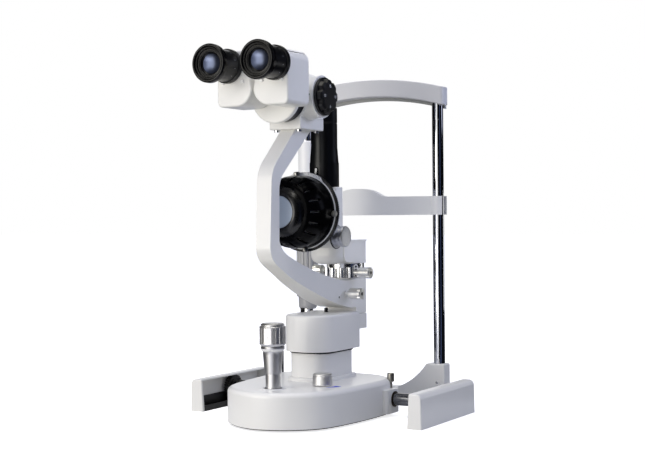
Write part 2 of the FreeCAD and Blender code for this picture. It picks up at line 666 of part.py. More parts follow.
def microscope_body():
    """The white casting that holds the magnification drum between two channels."""
    front = mm("head_front")
    back = mm("head_back")
    low = mm("head_low")
    half = mm("foot_half")
    axis = mm("optic_z")
    drum = Vector(0, mm("drum_y"), axis)
    reach = mm("boss_reach")
    boss = mm("boss_radius")
    shelf = block(-half, half, front, back, low, low + 16)
    shelf = round_edges(shelf, 1.5, lambda edge: True)
    barrel = rod(mm("head_radius"), Vector(0, front, axis), Vector(0, back, axis))
    barrel = round_edges(barrel, 2, lambda edge: True)
    waist = polygon([Vector(x, front + 0.4, z) for x, z in (
        (half - 1, low + 12), (24, low + 20), (28, low + 27), (33.3, axis - 4),
        (-33.3, axis - 4), (-28, low + 27), (-24, low + 20), (1 - half, low + 12))])
    shape = shelf.fuse(prism(waist, Vector(0, back - front - 0.8, 0))).fuse(barrel)
    lateral = rod(boss, drum - RIGHT * reach, drum + RIGHT * reach)
    for _, side in SIDES:
        root = drum + RIGHT * side * 22
        lateral = lateral.fuse(Part.makeCone(boss + 4, boss - 0.5, 12, root, RIGHT * side))
        rim = rod(boss + 0.8, drum + RIGHT * side * (reach - 2.2), drum + RIGHT * side * reach)
        lateral = lateral.fuse(rim)
    lateral = lateral.cut(block(-60, 60, front - 20, front, axis - 40, axis + 40))
    shape = shape.fuse(lateral)
    shape = shape.cut(rod(mm("drum_radius + run_gap"), drum - RIGHT * 60, drum + RIGHT * 60))
    for _, side in SIDES:
        start = Vector(side * mm("channel_x"), front - 1, axis)
        shape = shape.cut(rod(mm("channel_radius"), start, start + Vector(0, 70, 0)))
    shape = shape.cut(rod(30, Vector(0, back - 6.6, axis), Vector(0, back + 5, axis)))
    for x in (-17, 17):
        for y in (front + 8, back - 8):
            foot = Vector(x, y, low - 1)
            shape = shape.cut(rod(2, foot, foot + UP * 8))
    keep("microscope_body", plain("microscope_body", shape.removeSplitter()))


microscope_body()


def foot_screws():
    """Four small screws under the shelf, beside the arm."""
    screws = []
    for x in (-17, 17):
        for y in (mm("head_front") + 8, mm("head_back") - 8):
            foot = Vector(x, y, mm("head_low"))
            screws.append(rod(2, foot, foot + UP * 6).fuse(rod(3.4, foot - UP * 3, foot)))
    keep("foot_screws", plain("foot_screws", Part.makeCompound(screws)))


foot_screws()
keep("objective_lens", turned("objective_lens", [
    ("0", "-1.4"), ("18", "-1"), ("30", "0"), ("30", "4"), ("18", "5.4"), ("0", "6")],
    ("0", "head_back - 5", "optic_z"), Vector(0, 1, 0)))


def front_disc():
    """The round white carrier, with a deep groove and two bearings for the prisms."""
    axis = mm("optic_z")
    front = mm("disc_front")
    back = mm("head_front")
    disc = rod(mm("disc_radius"), Vector(0, front, axis), Vector(0, front + 6.5, axis))
    disc = round_edges(disc, 2.2, lambda edge: edge.CenterOfMass.y < front + 0.1)
    disc = disc.fuse(rod(mm("disc_radius - 4"), Vector(0, front + 6, axis), Vector(0, back, axis)))
    for _, side in SIDES:
        centre = Vector(side * mm("channel_x"), 0, axis)
        start = centre + Vector(0, front + 1, 0)
        disc = disc.fuse(rod(10, start, centre + Vector(0, mm("prism_back") - 7, 0)))
        end = centre + Vector(0, back + 1, 0)
        disc = disc.cut(rod(mm("channel_radius"), centre + Vector(0, -200, 0), end))
    keep("front_disc", plain("front_disc", disc))


front_disc()


def magnification_drum():
    """The turret between the two knobs: two pairs of channels give four positions."""
    centre = Vector(0, mm("drum_y"), mm("optic_z"))
    shape = rod(mm("drum_radius"), centre - RIGHT * 36, centre + RIGHT * 36)
    shape = shape.fuse(rod(8, centre - RIGHT * 44, centre + RIGHT * 44))
    for _, side in SIDES:
        for turn in (0, 90):
            across = Vector(0, math.cos(math.radians(turn)), math.sin(math.radians(turn))) * 30
            middle = centre + RIGHT * side * mm("channel_x")
            shape = shape.cut(rod(mm("channel_radius - 1"), middle - across, middle + across))
    keep("magnification_drum", plain("magnification_drum", shape))


magnification_drum()


def magnification_knob(word, side):
    """A black knob with a round skirt and an eight-lobed grip on each end of the drum."""
    name = f"magnification_knob_{word}"
    knob = turned(name + "_turned", [
        ("8", "boss_reach + 0.4"), ("knob_radius - 0.8", "boss_reach + 0.4"),
        ("knob_radius", "boss_reach + 1.2"), ("knob_radius", "boss_reach + 4"),
        ("knob_radius - 2", "boss_reach + 4.4"), ("knob_radius - 2", "knob_reach - 2.6"),
        ("knob_radius - 4", "knob_reach"), ("0", "knob_reach"),
        ("0", "44"), ("8", "44")], ("0", "drum_y", "optic_z"), RIGHT if side > 0 else LEFT)
    scoops = plain(name + "_scoops", flutes(mm("knob_radius + 2.4"), 6, 8, mm("boss_reach + 4.4"),
                                            mm("knob_reach + 1"), Vector()))
    scoops.Placement = knob.Placement
    keep(name, cut(name, knob, scoops))


for word, side in SIDES:
    magnification_knob(word, side)


def prism_housing(word, side):
    """A white shell that swings about its light channel to set the eyepiece spacing."""
    centre = Vector(side * mm("channel_x"), 0, mm("optic_z"))
    lean = math.radians(mm("prism_lean"))
    front = mm("prism_front")
    deep = mm("prism_back") - front
    eye = Vector(side * mm("eye_x"), 0, mm("eye_z"))

    def outline(shrink):
        top = mm("prism_top") - shrink
        outer = side * (mm("prism_side") - shrink)
        touch = centre + Vector(-side * math.cos(lean), 0, math.sin(lean)) * (mm("prism_waist") - shrink)
        climb = (top - touch.z) / math.cos(lean)
        peak = touch + Vector(side * math.sin(lean), 0, math.cos(lean)) * climb
        bottom = centre + Vector(side * 4, 0, shrink - mm("prism_sag"))
        across = abs(bottom.x - touch.x)
        rise = touch.z - bottom.z
        radius = (across ** 2 + rise ** 2) / (2 * rise)
        half_turn = math.atan2(across, radius - rise) / 2
        middle = bottom + UP * radius + Vector(-side * math.sin(half_turn), 0, -math.cos(half_turn)) * radius
        corner_top = Vector(outer, 0, top)
        corner_low = Vector(outer, 0, bottom.z)
        edges = [Part.Arc(bottom, middle, touch).toShape(), Part.LineSegment(touch, peak).toShape(),
                 Part.LineSegment(peak, corner_top).toShape(),
                 Part.LineSegment(corner_top, corner_low).toShape(),
                 Part.LineSegment(corner_low, bottom).toShape()]
        return Part.Wire(edges)

    shape = prism(outline(0), Vector(0, deep, 0))
    high = mm("prism_top") - 1
    wide = mm("prism_side") - 1
    shape = round_edges(shape, 12, lambda edge: along(edge, TO_EXAMINER) and (
        edge.CenterOfMass.z < high and abs(edge.CenterOfMass.x) < 10))
    shape = round_edges(shape, 15, lambda edge: along(edge, TO_EXAMINER) and (
        edge.CenterOfMass.z > high and abs(edge.CenterOfMass.x) > wide))
    shape = round_edges(shape, 7, lambda edge: along(edge, TO_EXAMINER) and (
        (edge.CenterOfMass.z > high and abs(edge.CenterOfMass.x) < 30)
        or (edge.CenterOfMass.z < mm("optic_z") and abs(edge.CenterOfMass.x) > wide)))
    shape = round_edges(shape, 2.5, lambda edge: not 0.01 < edge.CenterOfMass.y < deep - 0.01)
    inside = prism(outline(4), Vector(0, deep - 8, 0))
    inside.translate(Vector(0, 4, 0))
    shape = shape.cut(inside)
    shape.translate(Vector(0, front, 0))
    bearing = rod(13, centre + Vector(0, -157, 0), centre + Vector(0, -147, 0))
    shape = shape.fuse(bearing)
    shape = shape.cut(rod(10 + mm("run_gap"), centre + Vector(0, -170, 0), centre + Vector(0, -140, 0)))
    shape = shape.cut(rod(15, eye + Vector(0, -200, 0), eye + Vector(0, -185, 0)))
    name = f"prism_housing_{word}"
    keep(name, plain(name, shape))


for word, side in SIDES:
    prism_housing(word, side)

for word, side in SIDES:
    eye = (f"{side} * eye_x", "prism_front", "eye_z")
    # The fixed black barrel, with the flange that seats on the housing.
    keep(f"eyepiece_{word}", turned(f"eyepiece_{word}", [
        ("15", "-8"), ("15", "0"), ("21.6", "0"), ("21.9", "0.4"), ("21.9", "5.6"), ("21.5", "6"),
        ("eye_barrel + 0.4", "6.2"), ("eye_barrel", "7"), ("eye_barrel", "eye_reach - 5.5"),
        ("16.2", "eye_reach - 5.5"), ("16.2", "eye_reach - 10"), ("13", "eye_reach - 10"), ("13", "-8")],
        eye, TO_EXAMINER))
    keep(f"eye_lens_{word}", turned(f"eye_lens_{word}", [
        ("0", "eye_reach - 10"), ("16.2", "eye_reach - 10"), ("16.2", "eye_reach - 8.8"),
        ("13", "eye_reach - 7.6"), ("7", "eye_reach - 6.6"), ("0", "eye_reach - 6.2")], eye, TO_EXAMINER))
    # The rim turns on the barrel to set the dioptres.
    keep(f"eyecup_{word}", turned(f"eyecup_{word}", [
        ("eye_barrel + run_gap", "eye_reach - 12"), ("22", "eye_reach - 12"), ("22", "eye_reach - 9.6"),
        ("eye_rim - 0.5", "eye_reach - 9.2"), ("eye_rim", "eye_reach - 8.2"), ("eye_rim", "eye_reach - 1.6"),
        ("eye_rim - 1.4", "eye_reach"), ("21", "eye_reach"), ("20.4", "eye_reach - 1.4"),
        ("18.4", "eye_reach - 1.4"), ("17.4", "eye_reach - 3.4"), ("16", "eye_reach - 3.4"),
        ("14.6", "eye_reach - 5.2"), ("eye_barrel + run_gap", "eye_reach - 5.2")], eye, TO_EXAMINER))

# ---------------------------------------------------------------- illumination

def index_collar():
    """The polished collar under the lamp hub: a brim, three stop pins and two lock bosses."""
    pivot = Vector(0, mm("pivot_y"), 0)
    low = mm("hub_high") + 2.3
    high = mm("lamp_hub_low")
    brim = high - mm("collar_brim")
    flange = mm("collar_flange")
    shape = rod(mm("collar_body"), pivot + UP * low, pivot + UP * high)
    shape = shape.fuse(rod(flange, pivot + UP * brim, pivot + UP * high))
    shape = shape.common(block(-flange, flange, 0, mm("hub_back"), low, high))
    for turn in (-62, -28, 14):
        angle = math.radians(turn - 90)
        foot = pivot + Vector(math.cos(angle), math.sin(angle), 0) * 20.5
        shape = shape.fuse(rod(4, foot + UP * low, foot + UP * (brim + 1)))
    for _, side in SIDES:
        boss = Vector(side * 18.5, mm("clamp_y"), 0)
        shape = shape.fuse(rod(6, boss + UP * low, boss + UP * (brim + 1)))
        stem = Vector(side * 10, mm("clamp_y"), mm("clamp_right" if side > 0 else "clamp_left"))
        shape = shape.cut(rod(2.55, stem, stem + RIGHT * side * 20))
    shape = shape.cut(rod(mm("pivot_radius + run_gap"), pivot + UP * 150, pivot + UP * 250))
    keep("index_collar", plain("index_collar", shape.removeSplitter()))


index_collar()


def lamp_bracket():
    """The grey-white body between the pivot hub, the lamp and the tower."""
    half = mm("hub_half")
    slim = mm("upright_half")
    pivot = Vector(0, mm("pivot_y"), 0)
    tower = Vector(0, mm("tower_y"), 0)
    lamp = mm("lamp_z")
    low = mm("lamp_hub_low")
    high = mm("lamp_hub_high")
    back = mm("hub_back")
    nose = prism(rounded_plan(half, -25, 34, 18, 3, low), UP * (high - low))
    nose = round_edges(nose, 13, lambda edge: edge.CenterOfMass.z < low + 0.1 and edge.CenterOfMass.y < 30)
    heel = prism(rounded_plan(half, 16, back, 1, 3, low), UP * (high - low))
    lower = nose.fuse(heel)
    pad_low = low + 2.4
    pad_high = 231
    for _, side in SIDES:
        pad = [(Vector(side * 8, -10, pad_low), 11), (Vector(side * 8, 38, pad_low), 3),
               (Vector(side * 8, 38, pad_high), 3), (Vector(side * 8, -10, pad_high), 3)]
        lower = lower.fuse(prism(rounded_wire(pad), RIGHT * side * (half - 6.6)))
    rim = prism(rounded_plan(half + 0.9, 10, back + 0.9, 1, 3, high - 2.4), UP * 2.4)
    upright = prism(rounded_plan(slim, -25, 6, 3, 18.5, high - 1), UP * (mm("tower_low") - high + 1))
    upright = round_edges(upright, 1.5, lambda edge: edge.CenterOfMass.z > mm("tower_low") - 0.1)
    front = mm("ring_back") + 0.5
    link = block(-slim, slim, front, -20, 240, mm("tower_low") - 3)
    link = round_edges(link, 14, lambda edge: along(edge, Vector(0, 1, 0)) and edge.CenterOfMass.z < 250)
    link = round_edges(link, 6, lambda edge: along(edge, Vector(0, 1, 0)) and edge.CenterOfMass.z > 250)
    shape = lower.fuse(rim).fuse(upright).fuse(link)
    slit = Vector(0, mm("slit_y"), mm("slit_z"))
    shape = shape.fuse(rod(15.4, slit, slit + RIGHT * 29))
    bowl = mm("bowl_back")
    shape = shape.fuse(rod(28, Vector(0, bowl, lamp), Vector(0, front + 1, lamp)))
    shape = shape.fuse(rod(45.2, Vector(0, bowl - 3.5, lamp), Vector(0, bowl + 0.2, lamp)))
    shape = shape.cut(rod(12, Vector(0, -90, lamp), Vector(0, -16, lamp)))
    shape = shape.cut(rod(12, tower + UP * lamp, tower + UP * 320))
    shape = shape.cut(rod(4 + mm("run_gap"), slit, slit + RIGHT * 30))
    shape = shape.cut(rod(mm("pivot_radius + run_gap"), pivot + UP * 150, pivot + UP * 250))
    keep("lamp_bracket", plain("lamp_bracket", shape.removeSplitter()))


lamp_bracket()


BOWL_SCREWS = (-3, 97, 177, 277)


def lamp_bowl():
    """The black vented bowl over the bulb: a turned shell with a stepped front."""
    rim = mm("bowl_radius")
    skin = mm("bowl_skin")
    outer = [((rim, 0), None, (rim, 12)), ((rim, 12), (46.6, 28), (41.5, 40)),
             ((41.5, 40), (39.2, 44), (35.5, 46.4)), ((35.5, 46.4), None, (33.0, 47.2)),
             ((33.0, 47.2), (29.6, 53.2), (24.4, 57.2)), ((24.4, 57.2), None, (21.6, 57.6)),
             ((21.6, 57.6), None, (21.2, 56.0)), ((21.2, 56.0), None, (0, 56.0))]
    inner = [((0, 53.4), None, (21.5, 53.4)), ((21.5, 53.4), (26.6, 50.2), (30.0, 44.8)),
             ((30.0, 44.8), None, (33.6, 43.8)), ((33.6, 43.8), (38.4, 40), (41.6, 32)),
             ((41.6, 32), None, (rim - skin, 12)), ((rim - skin, 12), None, (rim - skin, 0))]
    edges = [Part.LineSegment(Vector(0, 0, 56), Vector(0, 0, 53.4)).toShape(),
             Part.LineSegment(Vector(rim - skin, 0, 0), Vector(rim, 0, 0)).toShape()]
    for start, middle, end in outer + inner:
        first, last = Vector(start[0], 0, start[1]), Vector(end[0], 0, end[1])
        if middle is None:
            edges.append(Part.LineSegment(first, last).toShape())
        else:
            edges.append(Part.Arc(first, Vector(middle[0], 0, middle[1]), last).toShape())
    wire = Part.Wire(Part.__sortEdges__(edges))
    shell = Part.Face(wire).revolve(Vector(), UP, 360)
    count = 18
    for index in range(count):
        slot = block(33, 60, -1.5, 1.5, 24, 43.5)
        slot.rotate(Vector(), UP, 360 * index / count)
        shell = shell.cut(slot)
    for turn in BOWL_SCREWS:
        hole = rod(2.05, Vector(40, 0, 1.7), Vector(60, 0, 1.7))
        hole.rotate(Vector(), UP, turn)
        shell = shell.cut(hole)
    thing = plain("lamp_bowl", shell)
    place(thing, ("0", "bowl_back", "lamp_z"), TO_EXAMINER)
    keep("lamp_bowl", thing)


lamp_bowl()


def lamp_screws():
    """Four knurled screws, which hold the bowl to the bracket's flange."""
    screws = []
    for turn in BOWL_SCREWS:
        screw = rod(2, Vector(45.3, 0, 1.7), Vector(49, 0, 1.7))
        screw = screw.fuse(rod(4.1, Vector(48.6, 0, 0.6), Vector(54, 0, 0.6)))
        screw.rotate(Vector(), UP, turn)
        screws.append(screw)
    thing = plain("lamp_screws", Part.makeCompound(screws))
    place(thing, ("0", "bowl_back", "lamp_z"), TO_EXAMINER)
    keep("lamp_screws", thing)


lamp_screws()
keep("lamp_bulb", turned("lamp_bulb", [
    ("0", "-6"), ("11.9", "-6"), ("11.9", "6"), ("8", "6"), ("8", "12"), ("7", "13"), ("7", "20"),
    ("5", "24"), ("0", "25.5")], ("0", "bowl_back + 1.5", "lamp_z"), TO_EXAMINER))


def rotation_ring():
    """The knurled ring behind the bowl, which turns the slit."""
    shape = rod(mm("ring_radius"), Vector(0, 0, 0), Vector(0, 0, 4.6))
    shape = shape.cut(rod(28 + mm("run_gap"), Vector(0, 0, -1), Vector(0, 0, 6)))
    shape = shape.cut(flutes(mm("ring_radius") + 0.5, 1.3, 60, -1, 6, Vector()))
    thing = plain("rotation_ring", shape)
    place(thing, ("0", "ring_back", "lamp_z"), TO_EXAMINER)
    keep("rotation_ring", thing)


rotation_ring()
keep("slit_knob", turned("slit_knob", [
    ("0", "10"), ("4", "10"), ("4", "29.3"), ("15.6", "29.3"), ("15.6", "31"), ("13.4", "31"),
    ("13.4", "39"), ("12.4", "39"), ("12.4", "40"), ("slit_radius", "40"), ("slit_radius", "44.4"),
    ("slit_radius - 0.8", "45.4"), ("0", "45.4")], ("0", "slit_y", "slit_z"), RIGHT))


def tower():
    """The black tube that carries the light up, with the filter lever's slot."""
    tube = turned("tower_turned", [
        ("tower_bore", "tower_low"), ("tower_radius", "tower_low"), ("tower_radius", "344"),
        ("tower_radius - 0.5", "345"), ("tower_slim", "366"), ("tower_slim", "398"),
        ("tower_slim - 0.4", "398.5"), ("tower_slim - 0.4", "399.5"), ("tower_slim", "400"),
        ("tower_slim", "tower_high - 1"), ("tower_slim - 1", "tower_high"), ("6", "tower_high"),
        ("6", "tower_high - 4"), ("tower_bore", "tower_high - 4")], ("0", "tower_y", "0"))
    slot = box("tower_slot", ("-1.6", "tower_y - 24", "317"), ("1.6", "tower_y - 10", "338"))
    keep("tower_tube", cut("tower_tube", tube, slot))
    axis = Vector(0, mm("tower_y"), 0)
    lever = rod(mm("tower_bore") - 0.4, axis + UP * 326, axis + UP * 335)
    lever = lever.cut(rod(12, axis + UP * 320, axis + UP * 334))
    lever = lever.fuse(rod(1.4, axis + Vector(0, -13, 331), axis + Vector(0, -22.6, 331)))
    blade = polygon([axis + Vector(-1.6, y, z) for y, z in (
        (-21.4, 336), (-22.6, 336.4), (-23.6, 330), (-26.4, 322), (-25.2, 321.4), (-22.2, 329))])
    keep("filter_lever", plain("filter_lever", lever.fuse(prism(blade, RIGHT * 3.2))))
    side = polygon([Vector(-6.5, y, z) for y, z in (
        (-34, 420), (-34, 452), (-3, 452), (-3, 447), (-30, 420))])
    seat = rod(16.5, axis + UP * 420, axis + UP * 423).cut(rod(6, axis + UP * 419, axis + UP * 424))
    light = rod(6, axis + UP * 419, axis + UP * 426)
    keep("mirror_head", plain("mirror_head", prism(side, RIGHT * 13).fuse(seat).cut(light)))


tower()

# ---------------------------------------------------------------- chin rest

def chinrest_frame():
    """The crossbar with its gussets, two chrome posts and the arched headband."""
    front = mm("bar_front")
    deep = mm("bar_back") - front
    half = mm("bar_half")
    top = mm("gusset_top")
    inner_top = 93
    inner_low = 46
    low = 24
    corners = {}
    for _, side in SIDES:
        corners[side] = [Vector(side * x, front, z) for x, z in (
            (half, 0), (half, top), (inner_top, top), (69, 35.8), (inner_low, low))]
    right, left = corners[1], corners[-1]
    edges = [Part.LineSegment(left[0], right[0]).toShape()]
    for chain in (right, left):
        edges.append(Part.LineSegment(chain[0], chain[1]).toShape())
        edges.append(Part.LineSegment(chain[1], chain[2]).toShape())
        edges.append(Part.Arc(chain[2], chain[3], chain[4]).toShape())
    edges.append(Part.LineSegment(right[4], left[4]).toShape())
    wire = Part.Wire(Part.__sortEdges__(edges))
    shape = prism(wire, Vector(0, deep, 0))
    shape = round_edges(shape, 2, lambda edge: along(edge, UP) or edge.CenterOfMass.z > top - 0.1)
    rail = mm("rail_half")
    for _, side in SIDES:
        strap = prism(polygon([Vector(side * x, y, 0) for x, y in (
            (161, rail), (173, rail), (half - 1, mm("bar_back") - 2), (half - 4, front + 2))]), UP * 4)
        reach = sorted([side * 161, side * 173])
        shape = shape.fuse(strap).fuse(block(reach[0], reach[1], rail, rail + 4, 0, 18))
        post = Vector(side * mm("post_x"), mm("post_y"), 5)
        shape = shape.cut(rod(mm("post_radius"), post, post + UP * 80))
        screw = Vector(side * mm("post_x"), front - 1, 33)
        shape = shape.cut(rod(2.2, screw, screw + Vector(0, 12, 0)))
        foot = Vector(side * 60, mm("post_y"), -1)
        shape = shape.cut(rod(mm("bolt_hole"), foot, foot + UP * 40))
    keep("chinrest_crossbar", plain("chinrest_crossbar", shape.removeSplitter()))

    for word, side in SIDES:
        keep(f"chinrest_post_{word}", turned(f"chinrest_post_{word}", [
            ("0", "5"), ("post_radius", "5"), ("post_radius", "406.6"), ("post_radius - 0.3", "406.8"),
            ("post_radius - 0.3", "407.4"), ("post_radius", "407.6"), ("post_radius", "post_top"),
            ("0", "post_top")], (f"{side} * post_x", "post_y", "0")))

    end = 121.5
    arch = [Part.Arc(Vector(-end, front, 453), Vector(0, front, 469), Vector(end, front, 453)).toShape(),
            Part.Arc(Vector(-end, front, 427), Vector(0, front, 444.5), Vector(end, front, 427)).toShape()]
    for _, side in SIDES:
        foot = Vector(side * end, front, 427)
        arch.append(Part.LineSegment(foot, foot + UP * 26).toShape())
    band = prism(Part.Wire(Part.__sortEdges__(arch)), Vector(0, deep, 0))
    band = round_edges(band, 5, lambda edge: along(edge, UP))
    band = round_edges(band, 1.5, lambda edge: edge.CenterOfMass.z > 456 or abs(edge.CenterOfMass.x) < 1)
    for _, side in SIDES:
        post = Vector(side * mm("post_x"), mm("post_y"), 400)
        band = band.cut(rod(mm("post_radius"), post, post + UP * (mm("post_top") - 400)))
    keep("headband", plain("headband", band))

    back = mm("bar_back")
    end = 116
    strip = [Part.Arc(Vector(-end, back, 448), Vector(0, back, 460), Vector(end, back, 448)).toShape(),
             Part.Arc(Vector(-end, back, 423), Vector(0, back, 440), Vector(end, back, 423)).toShape()]
    for _, side in SIDES:
        strip.append(Part.LineSegment(Vector(side * end, back, 423), Vector(side * end, back, 448)).toShape())
    pad = prism(Part.Wire(Part.__sortEdges__(strip)), Vector(0, 5, 0))
    keep("forehead_strip", plain("forehead_strip", pad))


chinrest_frame()
keep("lift_collar", turned("lift_collar", [
    ("post_radius", "thrust_low"), ("11.5", "thrust_low"), ("13.5", "thrust_low + 3"),
    ("14", "sleeve_low - 0.3"), ("post_radius", "sleeve_low - 0.3")], ("-post_x", "post_y", "0")))


def chin_sleeve():
    """The ribbed sleeve round the left post, which is turned to lift the chin rest."""
    sleeve = turned("sleeve_turned", [
        ("tube_radius + run_gap", "sleeve_low"), ("sleeve_radius - 1", "sleeve_low"),
        ("sleeve_radius", "sleeve_low + 1"), ("sleeve_radius", "sleeve_high - 1"),
        ("sleeve_radius - 1", "sleeve_high"), ("tube_radius + run_gap", "sleeve_high")],
        ("-post_x", "post_y", "0"))
    grooves = plain("sleeve_grooves", flutes(mm("sleeve_radius + 1"), 2.2, 14, mm("sleeve_low - 1"),
                                             mm("sleeve_high + 1"), Vector(-mm("post_x"), mm("post_y"), 0)))
    keep("chin_sleeve", cut("chin_sleeve", sleeve, grooves))


chin_sleeve()
keep("chin_tube", turned("chin_tube", [
    ("post_radius + run_gap", "tube_low"), ("tube_radius", "tube_low"), ("tube_radius", "tube_high - 2"),
    ("tube_radius - 2", "tube_high"), ("post_radius + run_gap", "tube_high")], ("-post_x", "post_y", "0")))


def chin_bar():
    """The white bar that bows towards the examiner, with a cup for the chin."""
    low = mm("chin_low")
    high = mm("chin_high")
    hump = mm("chin_hump")
    outer = [(-116, 113), (-104, 107.5), (-64, 92), (-28, 78.5), (0, 75.5), (28, 78.5), (64, 92),
             (104, 107.5), (116, 113)]
    inner = [(-112, 124), (-98, 117), (-62, 102), (-26, 88.5), (0, 85.5), (26, 88.5), (62, 102),
             (98, 117), (112, 124)]
    front = smooth_edge([Vector(x, y, low) for x, y in outer])
    back = smooth_edge([Vector(x, y, low) for x, y in inner])
    ends = [Part.LineSegment(Vector(side * 116, 113, low), Vector(side * 112, 124, low)).toShape()
            for _, side in SIDES]
    plan = Part.Wire(Part.__sortEdges__([front, back] + ends))
    band = prism(plan, UP * (hump - low))
    crest = [Vector(x, 60, z) for x, z in (
        (-44, high), (-38, high + 1), (-26, high + 7.6), (-14, hump - 0.6), (0, hump),
        (14, hump - 0.6), (26, high + 7.6), (38, high + 1), (44, high))]
    edges = [smooth_edge(crest)]
    for start, end in (((44, high), (130, high)), ((130, high), (130, low)), ((130, low), (-130, low)),
                       ((-130, low), (-130, high)), ((-130, high), (-44, high))):
        edges.append(Part.LineSegment(Vector(start[0], 60, start[1]), Vector(end[0], 60, end[1])).toShape())
    band = band.common(prism(Part.Wire(Part.__sortEdges__(edges)), Vector(0, 80, 0)))
    shape = band
    for _, side, radius in (("left", -1, 15.5), ("right", 1, 12.5)):
        post = Vector(side * mm("post_x"), mm("post_y"), 0)
        shape = shape.fuse(rod(radius, post + UP * low, post + UP * high))
    fork = mm("post_x")
    shape = shape.cut(block(fork, fork + 20, mm("post_y") - 8, mm("post_y") + 8, low - 1, high + 1))
    cup = prism(rounded_plan(33, 84, 130, 6, 22, 286), UP * 8)
    dish = prism(rounded_plan(28, 90, 126, 8, 18, 290), UP * 8)
    shape = shape.fuse(cup).cut(dish)
    left = Vector(-mm("post_x"), mm("post_y"), 200)
    right = Vector(mm("post_x"), mm("post_y"), 200)
    shape = shape.cut(rod(mm("tube_radius"), left, left + UP * 150))
    shape = shape.cut(rod(mm("post_radius + run_gap"), right, right + UP * 150))
    keep("chin_bar", plain("chin_bar", shape.removeSplitter()))


chin_bar()

# ---------------------------------------------------------------- check and write

doc.recompute()
for thing in doc.Objects:
    bad = {"Invalid", "Error"} & set(thing.State)
    if bad:
        raise SystemExit(f"{thing.Label} is {bad}")
for name, thing in nodes.items():
    shape = thing.Shape
    if shape.isNull() or not shape.isValid() or not shape.Solids:
        raise SystemExit(f"{name} has no valid solid")
    if min(solid.Volume for solid in shape.Solids) < 1.0:
        raise SystemExit(f"{name} has an empty or sliver solid")
    shape.exportStep(f"parts/{name}.step")
    print(f"{name}: {len(shape.Solids)} solid(s), {shape.Volume / 1000:.2f} cm3")
print(len(nodes), "pieces")
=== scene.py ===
"""Looks of a table slit lamp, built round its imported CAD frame.

+X is the examiner's right, +Y points to the patient, +Z is up. Shapes are worked out in
millimetres and become metres when they are put into a mesh.
"""
import json
import math

import bmesh
import bpy
import numpy as np
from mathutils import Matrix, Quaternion, Vector


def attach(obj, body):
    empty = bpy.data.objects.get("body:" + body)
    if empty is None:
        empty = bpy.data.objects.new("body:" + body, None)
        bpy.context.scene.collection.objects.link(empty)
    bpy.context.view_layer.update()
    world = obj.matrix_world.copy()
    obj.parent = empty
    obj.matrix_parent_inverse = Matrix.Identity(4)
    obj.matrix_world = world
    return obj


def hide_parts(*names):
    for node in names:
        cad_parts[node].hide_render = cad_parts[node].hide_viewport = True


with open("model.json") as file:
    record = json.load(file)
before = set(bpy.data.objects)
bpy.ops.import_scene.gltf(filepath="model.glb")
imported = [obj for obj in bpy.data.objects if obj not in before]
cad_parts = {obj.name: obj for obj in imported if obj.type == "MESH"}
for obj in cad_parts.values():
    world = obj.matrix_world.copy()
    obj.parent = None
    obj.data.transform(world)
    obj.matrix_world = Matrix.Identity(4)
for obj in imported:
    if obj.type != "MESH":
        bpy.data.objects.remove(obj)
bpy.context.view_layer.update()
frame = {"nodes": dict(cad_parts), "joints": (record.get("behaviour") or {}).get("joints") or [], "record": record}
MM = 0.001
BODY_OF = {name: body for body, names in frame["record"]["behaviour"]["bodies"].items() for name in names}
PIVOT = {joint["name"]: [round(value / MM, 3) for value in joint["pos_m"]]
         for joint in frame["joints"] if "pos_m" in joint}
SIDES = (("left", -1), ("right", 1))


def on_axis(joint, along, start=0.0):
    """A point of a joint's axis: the joint's own place, with x, y or z along the axis set to start."""
    place = list(PIVOT[joint])
    place["xyz".index(along)] = start
    return tuple(place)


# ---------------------------------------------------------------- materials

def linear(code):
    """An sRGB hex colour as linear light."""
    srgb = np.array([int(code[place:place + 2], 16) for place in (1, 3, 5)]) / 255
    light = np.where(srgb <= 0.04045, srgb / 12.92, ((srgb + 0.055) / 1.055) ** 2.4)
    return (*light.tolist(), 1.0)


def node(tree, kind, sockets=None, **settings):
    """Add a node, set its settings, and give each named socket a value or a link."""
    made = tree.nodes.new("ShaderNode" + kind)
    for key, value in settings.items():
        setattr(made, key, value)
    for socket, value in (sockets or {}).items():
        if isinstance(value, bpy.types.NodeSocket):
            tree.links.new(value, made.inputs[socket])
        else:
            made.inputs[socket].default_value = value
    return made


def shaded(name, shader):
    """A new material with its node tree, its main shader, and that shader's own sockets set."""
    material = bpy.data.materials.new(name)
    material.use_nodes = True
    tree = material.node_tree
    surface = tree.nodes["Principled BSDF"]
    for socket, value in shader.items():
        surface.inputs[socket.replace("_", " ")].default_value = value
    return material, tree, surface


